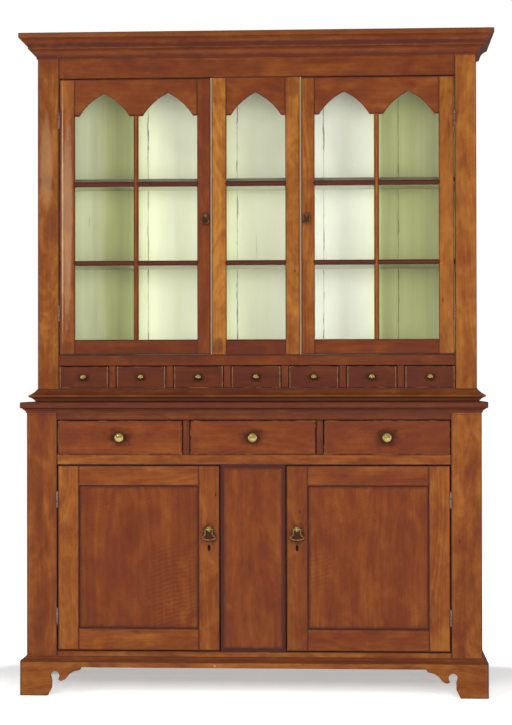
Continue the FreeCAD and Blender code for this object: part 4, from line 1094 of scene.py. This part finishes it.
paneNodes = ("left_glazed_door_panes", "right_glazed_door_panes", "center_sash_panes")
for node in paneNodes:
    piece = Piece(node)
    for index, (low, high, _) in enumerate(extents(node)):
        piece.addBoard(rippledPane(Vector(low), Vector(high), index + len(node)), "glass",
                       f"{node}{index}")
    piece.build(sharp=40)
print("panes made")


# nails, screws and putty, grown by node trees from points and outlines
class Grower(Bench):
    def __init__(self, name, inputs):
        super().__init__(bpy.data.node_groups.new(name, "GeometryNodeTree"))
        sides = self.tree.interface
        for way in ("INPUT", "OUTPUT"):
            sides.new_socket("Geometry", in_out=way, socket_type="NodeSocketGeometry")
        self.keys = {name: sides.new_socket(name, in_out="INPUT",
                                            socket_type="NodeSocket" + kind).identifier
                     for name, kind in inputs.items()}
        self.entry = self.tree.nodes.new("NodeGroupInput")

    def given(self, name):
        return Flow(self, self.entry.outputs[name])

    def vector(self, x=0.0, y=0.0, z=0.0):
        return self.add("CombineXYZ", {0: x, 1: y, 2: z})

    def chance(self, low, high, seed):
        return self.add("FunctionNodeRandomValue", {2: low, 3: high, 8: seed},
                        {"data_type": "FLOAT"}, 1)

    def close(self, geometry):
        real = self.add("GeometryNodeRealizeInstances", {0: geometry})
        done = self.add("GeometryNodeSetMaterial", {0: real, "Material": self.given("finish")})
        self.tree.links.new(done.socket, self.tree.nodes.new("NodeGroupOutput").inputs[0])

    # the helper mesh carries the modifier; a plain mesh comes back
    def grow(self, node, what, slot, mesh, **values):
        holder = addObject(camel(node) + what, mesh)
        modifier = holder.modifiers.new("grow", "NODES")
        modifier.node_group = self.tree
        for key, value in values.items():
            modifier[self.keys[key]] = value
        bpy.context.view_layer.update()
        graph = bpy.context.evaluated_depsgraph_get()
        plain = bpy.data.meshes.new_from_object(holder.evaluated_get(graph))
        holder.modifiers.clear()
        bpy.data.objects.remove(holder)
        made = addObject(camel(node) + what, plain)
        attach(made, bodyOf[node])


def headTree():
    tree = Grower("fastenerHeads", {
        "radius": "Float", "height": "Float", "dome": "Float", "sides": "Int",
        "slotWidth": "Float", "slotted": "Bool", "seed": "Int", "finish": "Material"})
    radius, height, seed = tree.given("radius"), tree.given("height"), tree.given("seed")
    head = tree.add("GeometryNodeMeshCone", {
        "Vertices": tree.given("sides"), "Radius Top": radius * tree.given("dome"),
        "Radius Bottom": radius, "Depth": height}, {"fill_type": "NGON"})
    groove = tree.add("GeometryNodeMeshCube", {
        "Size": tree.vector(radius * 3, tree.given("slotWidth"), height)})
    raised = tree.add("GeometryNodeTransform", {
        0: groove, "Translation": tree.vector(z=height * 1.3)})
    cut = tree.add("GeometryNodeMeshBoolean", {0: head, 1: raised},
                   {"operation": "DIFFERENCE", "solver": "EXACT"})
    shape = tree.add("GeometryNodeSwitch", {0: tree.given("slotted"), 1: head, 2: cut},
                     {"input_type": "GEOMETRY"})
    aim = tree.add("GeometryNodeInputNamedAttribute", {0: "aim"}, {"data_type": "FLOAT_VECTOR"})
    facing = tree.add("FunctionNodeAlignRotationToVector", {"Vector": aim}, {"axis": "Z"})
    around = tree.add("FunctionNodeAxisAngleToRotation", {
        0: (0, 0, 1), 1: tree.chance(0.0, 6.283, seed)})
    spun = tree.add("FunctionNodeRotateRotation", {0: facing, 1: around},
                    {"rotation_space": "LOCAL"})
    sizes = tree.chance(0.9, 1.0, seed + 7)
    points = tree.add("GeometryNodeMeshToPoints", {0: tree.given("Geometry")},
                      {"mode": "VERTICES"})
    tree.close(tree.add("GeometryNodeInstanceOnPoints", {
        0: points, "Instance": shape, "Rotation": spun, "Scale": tree.vector(sizes, sizes, 1.0)}))
    return tree


def beadTree():
    tree = Grower("puttyBead", {
        "radius": "Float", "rough": "Float", "seed": "Int", "finish": "Material"})
    path = tree.add("GeometryNodeMeshToCurve", {0: tree.given("Geometry")})
    fine = tree.add("GeometryNodeResampleCurve", {"Curve": path, "Length": 0.012},
                    {"mode": "LENGTH"})
    ring = tree.add("GeometryNodeCurvePrimitiveCircle", {
        "Resolution": 8, "Radius": tree.given("radius")}, {"mode": "RADIUS"})
    bead = tree.add("GeometryNodeCurveToMesh", {0: fine, 1: ring})
    shake = tree.chance(0.0, 1.0, tree.given("seed"))
    inward = tree.vector(y=0 - shake * tree.given("rough"))
    tree.close(tree.add("GeometryNodeSetPosition", {0: bead, "Offset": inward}))
    return tree


heads, bead = headTree(), beadTree()


def pointMesh(name, places):
    # places are (point, direction that the head faces)
    mesh = bpy.data.meshes.new(name)
    mesh.from_pydata([point for point, aim in places], [], [])
    layer = mesh.attributes.new("aim", "FLOAT_VECTOR", "POINT")
    layer.data.foreach_set("vector", [number for point, aim in places for number in aim])
    return mesh


def nailBack(node, crossing, count):
    # two nails in each back board, on a level with the boards that cross it
    heights = [(low[2] + high[2]) / 2 for low, high, _ in list(extents(crossing))[:count]]
    places = []
    for index, (low, high, _) in enumerate(extents(node)):
        chance = random.Random(f"{node}{index}nails")
        for z in heights:
            for x in (low[0] + nails["fromEdge"], high[0] - nails["fromEdge"]):
                places.append(((x + chance.uniform(-0.006, 0.006), high[1] - nails["height"],
                                z + chance.uniform(-0.003, 0.003)), (0, 1, 0)))
    heads.grow(node, "Nails", "iron", pointMesh(node + "nails", places),
               radius=nails["radius"], height=nails["height"], dome=0.55, sides=7,
               slotWidth=0.0, slotted=False, seed=11, finish=finishes["iron"])


nailBack("upper_back_boards", "upper_boards", 5)
nailBack("lower_back_boards", "lower_inner_boards", 3)

screws = {"radius": 0.0026, "height": 0.0008, "sunk": 0.0007}


def screwHinges(node, leaves, facing):
    # three screws up each leaf, on the face that shows when the door is open
    places = []
    solids = list(extents(node))
    for low, high, corners in [solids[leaf] for leaf in leaves]:
        plate = [corner[0] for corner in corners if corner[1] > high[1] - 0.004]
        out = facing if low[0] > 0 else -facing
        x = (max(plate) if out > 0 else min(plate)) - out * screws["sunk"]
        for step in (-0.36, 0.0, 0.36):
            places.append(((x, high[1] - 0.0085 + (0.003 if step else -0.003),
                            (low[2] + high[2]) / 2 + step * (high[2] - low[2])), (out, 0, 0)))
    heads.grow(node, "Screws", "iron", pointMesh(node + "screws", places),
               radius=screws["radius"], height=screws["height"], dome=0.8, sides=16,
               slotWidth=0.0007, slotted=True, seed=5, finish=finishes["iron"])


screwHinges("case_hinges", range(0, 16, 2), -1)
for side in ("left", "right"):
    screwHinges(f"{side}_glazed_door_hinges", range(2), 1)
    screwHinges(f"{side}_panel_door_hardware", range(2), 1)

putty = {"radius": 0.0026, "inset": 0.003, "back": 0.0024, "rough": 0.0007}


def puttyRound(node):
    # one bead inside each pane's edge, on the back of the glass
    points, edges = [], []
    for low, high, _ in extents(node):
        x0, z0 = (low[axis] + putty["inset"] for axis in (0, 2))
        x1, z1 = (high[axis] - putty["inset"] for axis in (0, 2))
        y = high[1] + putty["back"]
        first = len(points)
        points += [(x0, y, z0), (x1, y, z0), (x1, y, z1), (x0, y, z1)]
        edges += [(first + k, first + (k + 1) % 4) for k in range(4)]
    mesh = bpy.data.meshes.new(node + "putty")
    mesh.from_pydata(points, edges, [])
    bead.grow(node, "Putty", "painted_interior", mesh,
              radius=putty["radius"], rough=putty["rough"], seed=3, finish=finishes["putty"])


for node in paneNodes:
    puttyRound(node)
print("nails, screws and putty made;", sum(boardCounts), "boards in all")


# studio: floor, lamps, sky and camera
studio = {
    "floorLift": (0.29, 0.53, 1.0),
    "sky": 0.12,
    "lens": 93.22,
    "camera": (0.345, -6.3408, 1.0133),
    "turns": ((3.136, "Z"), (90.667, "X"), (-0.091, "Z")),
}
# place, aim, width and height, power; lamps light the wood, sparks also shine in metal and glass
lamps = {
    "rightLamp": ((1.25, -3.3, 1.4), (0.1, 0.0, 1.1), (0.9, 1.7), 56),
    "leftLamp": ((-1.35, -3.3, 1.4), (-0.1, 0.0, 1.1), (0.9, 1.7), 53),
    "frontLamp": ((0.3, -5.0, 1.5), (0.0, 0.0, 1.1), (1.6, 1.2), 76),
    "rightSpark": ((2.8, -1.0, 1.0), (0.0, 0.0, 0.9), (0.5, 1.3), 12),
    "rightFillLamp": ((2.3, -2.4, 1.7), (0.0, 0.0, 1.0), (0.4, 0.9), 11),
    "leftFillLamp": ((-2.3, -2.4, 1.9), (0.0, 0.0, 1.0), (0.4, 0.9), 13),
    "backLamp": ((0.0, 3.9, 2.7), (0.0, 0.27, 1.1), (2.2, 1.4), 42),
    "highSpark": ((-2.4, -4.4, 3.4), (0.0, -0.2, 0.8), (0.7, 0.5), 34),
    "leftSpark": ((-2.8, -0.7, 1.0), (0.0, 0.0, 0.9), (0.5, 1.3), 13),
}


def makeFloor():
    # glows white where it is seen, which is painted light, and glows less under and beside the
    # cupboard, which is painted shade
    material, bench = newMaterial("studioFloor")
    x, y, _ = bench.axes(bench.place())
    outX = bench.sum("MAXIMUM", abs(x) - 0.8, 0)
    outY = bench.sum("MAXIMUM", bench.sum("MAXIMUM", -0.28 - y, y - 0.27), 0)
    back, front, far = studio["floorLift"]
    under = bench.span(y, 0.27, -0.15, back, front)
    beside = bench.span(bench.length(outX, outY), 0.0, 0.36) * far
    glow = bench.seen() * bench.sum("MAXIMUM", under, beside)
    diffuse = bench.add("BsdfDiffuse", {"Color": (0.86, 0.86, 0.865)})
    lift = bench.add("Emission", {"Color": (1, 1, 1), "Strength": glow})
    bench.finish(bench.add("AddShader", {0: diffuse, 1: lift}))
    mesh = bpy.data.meshes.new("floor")
    mesh.from_pydata([(-30, -30, 0), (30, -30, 0), (30, 30, 0), (-30, 30, 0)], [], [(0, 1, 2, 3)])
    mesh.materials.append(material)
    addObject("floor", mesh)


def makeLamp(name, place, aim, size, power):
    lamp = bpy.data.lights.new(name, "AREA")
    lamp.shape = "RECTANGLE"
    lamp.size, lamp.size_y = size
    lamp.energy = power
    holder = addObject(name, lamp)
    holder.location = place
    holder.rotation_euler = (Vector(aim) - Vector(place)).to_track_quat("-Z", "Y").to_euler()
    holder.visible_camera = False
    holder.visible_glossy = name.endswith("Spark")


def makeSky():
    world = bpy.data.worlds.new("studioSky")
    world.use_nodes = True
    bench = Bench(world.node_tree)
    strength = bench.seen() * (1 - studio["sky"]) + studio["sky"]
    back = bench.add("Background", {"Color": (1, 1, 1), "Strength": strength})
    bench.finish(back, "OutputWorld")
    bpy.context.scene.world = world


def makeCamera():
    lens = bpy.data.cameras.new("camera")
    lens.sensor_width = 36
    lens.lens = studio["lens"]
    lens.clip_end = 100
    camera = addObject("camera", lens)
    turn = Matrix.Identity(4)
    for degrees, axis in studio["turns"]:
        turn = turn @ Matrix.Rotation(math.radians(degrees), 4, axis)
    camera.matrix_world = Matrix.Translation(studio["camera"]) @ turn
    bpy.context.scene.camera = camera


makeFloor()
for name, values in lamps.items():
    makeLamp(name, *values)
makeSky()
makeCamera()
bpy.context.scene.view_settings.view_transform = "Standard"
print("studio set")
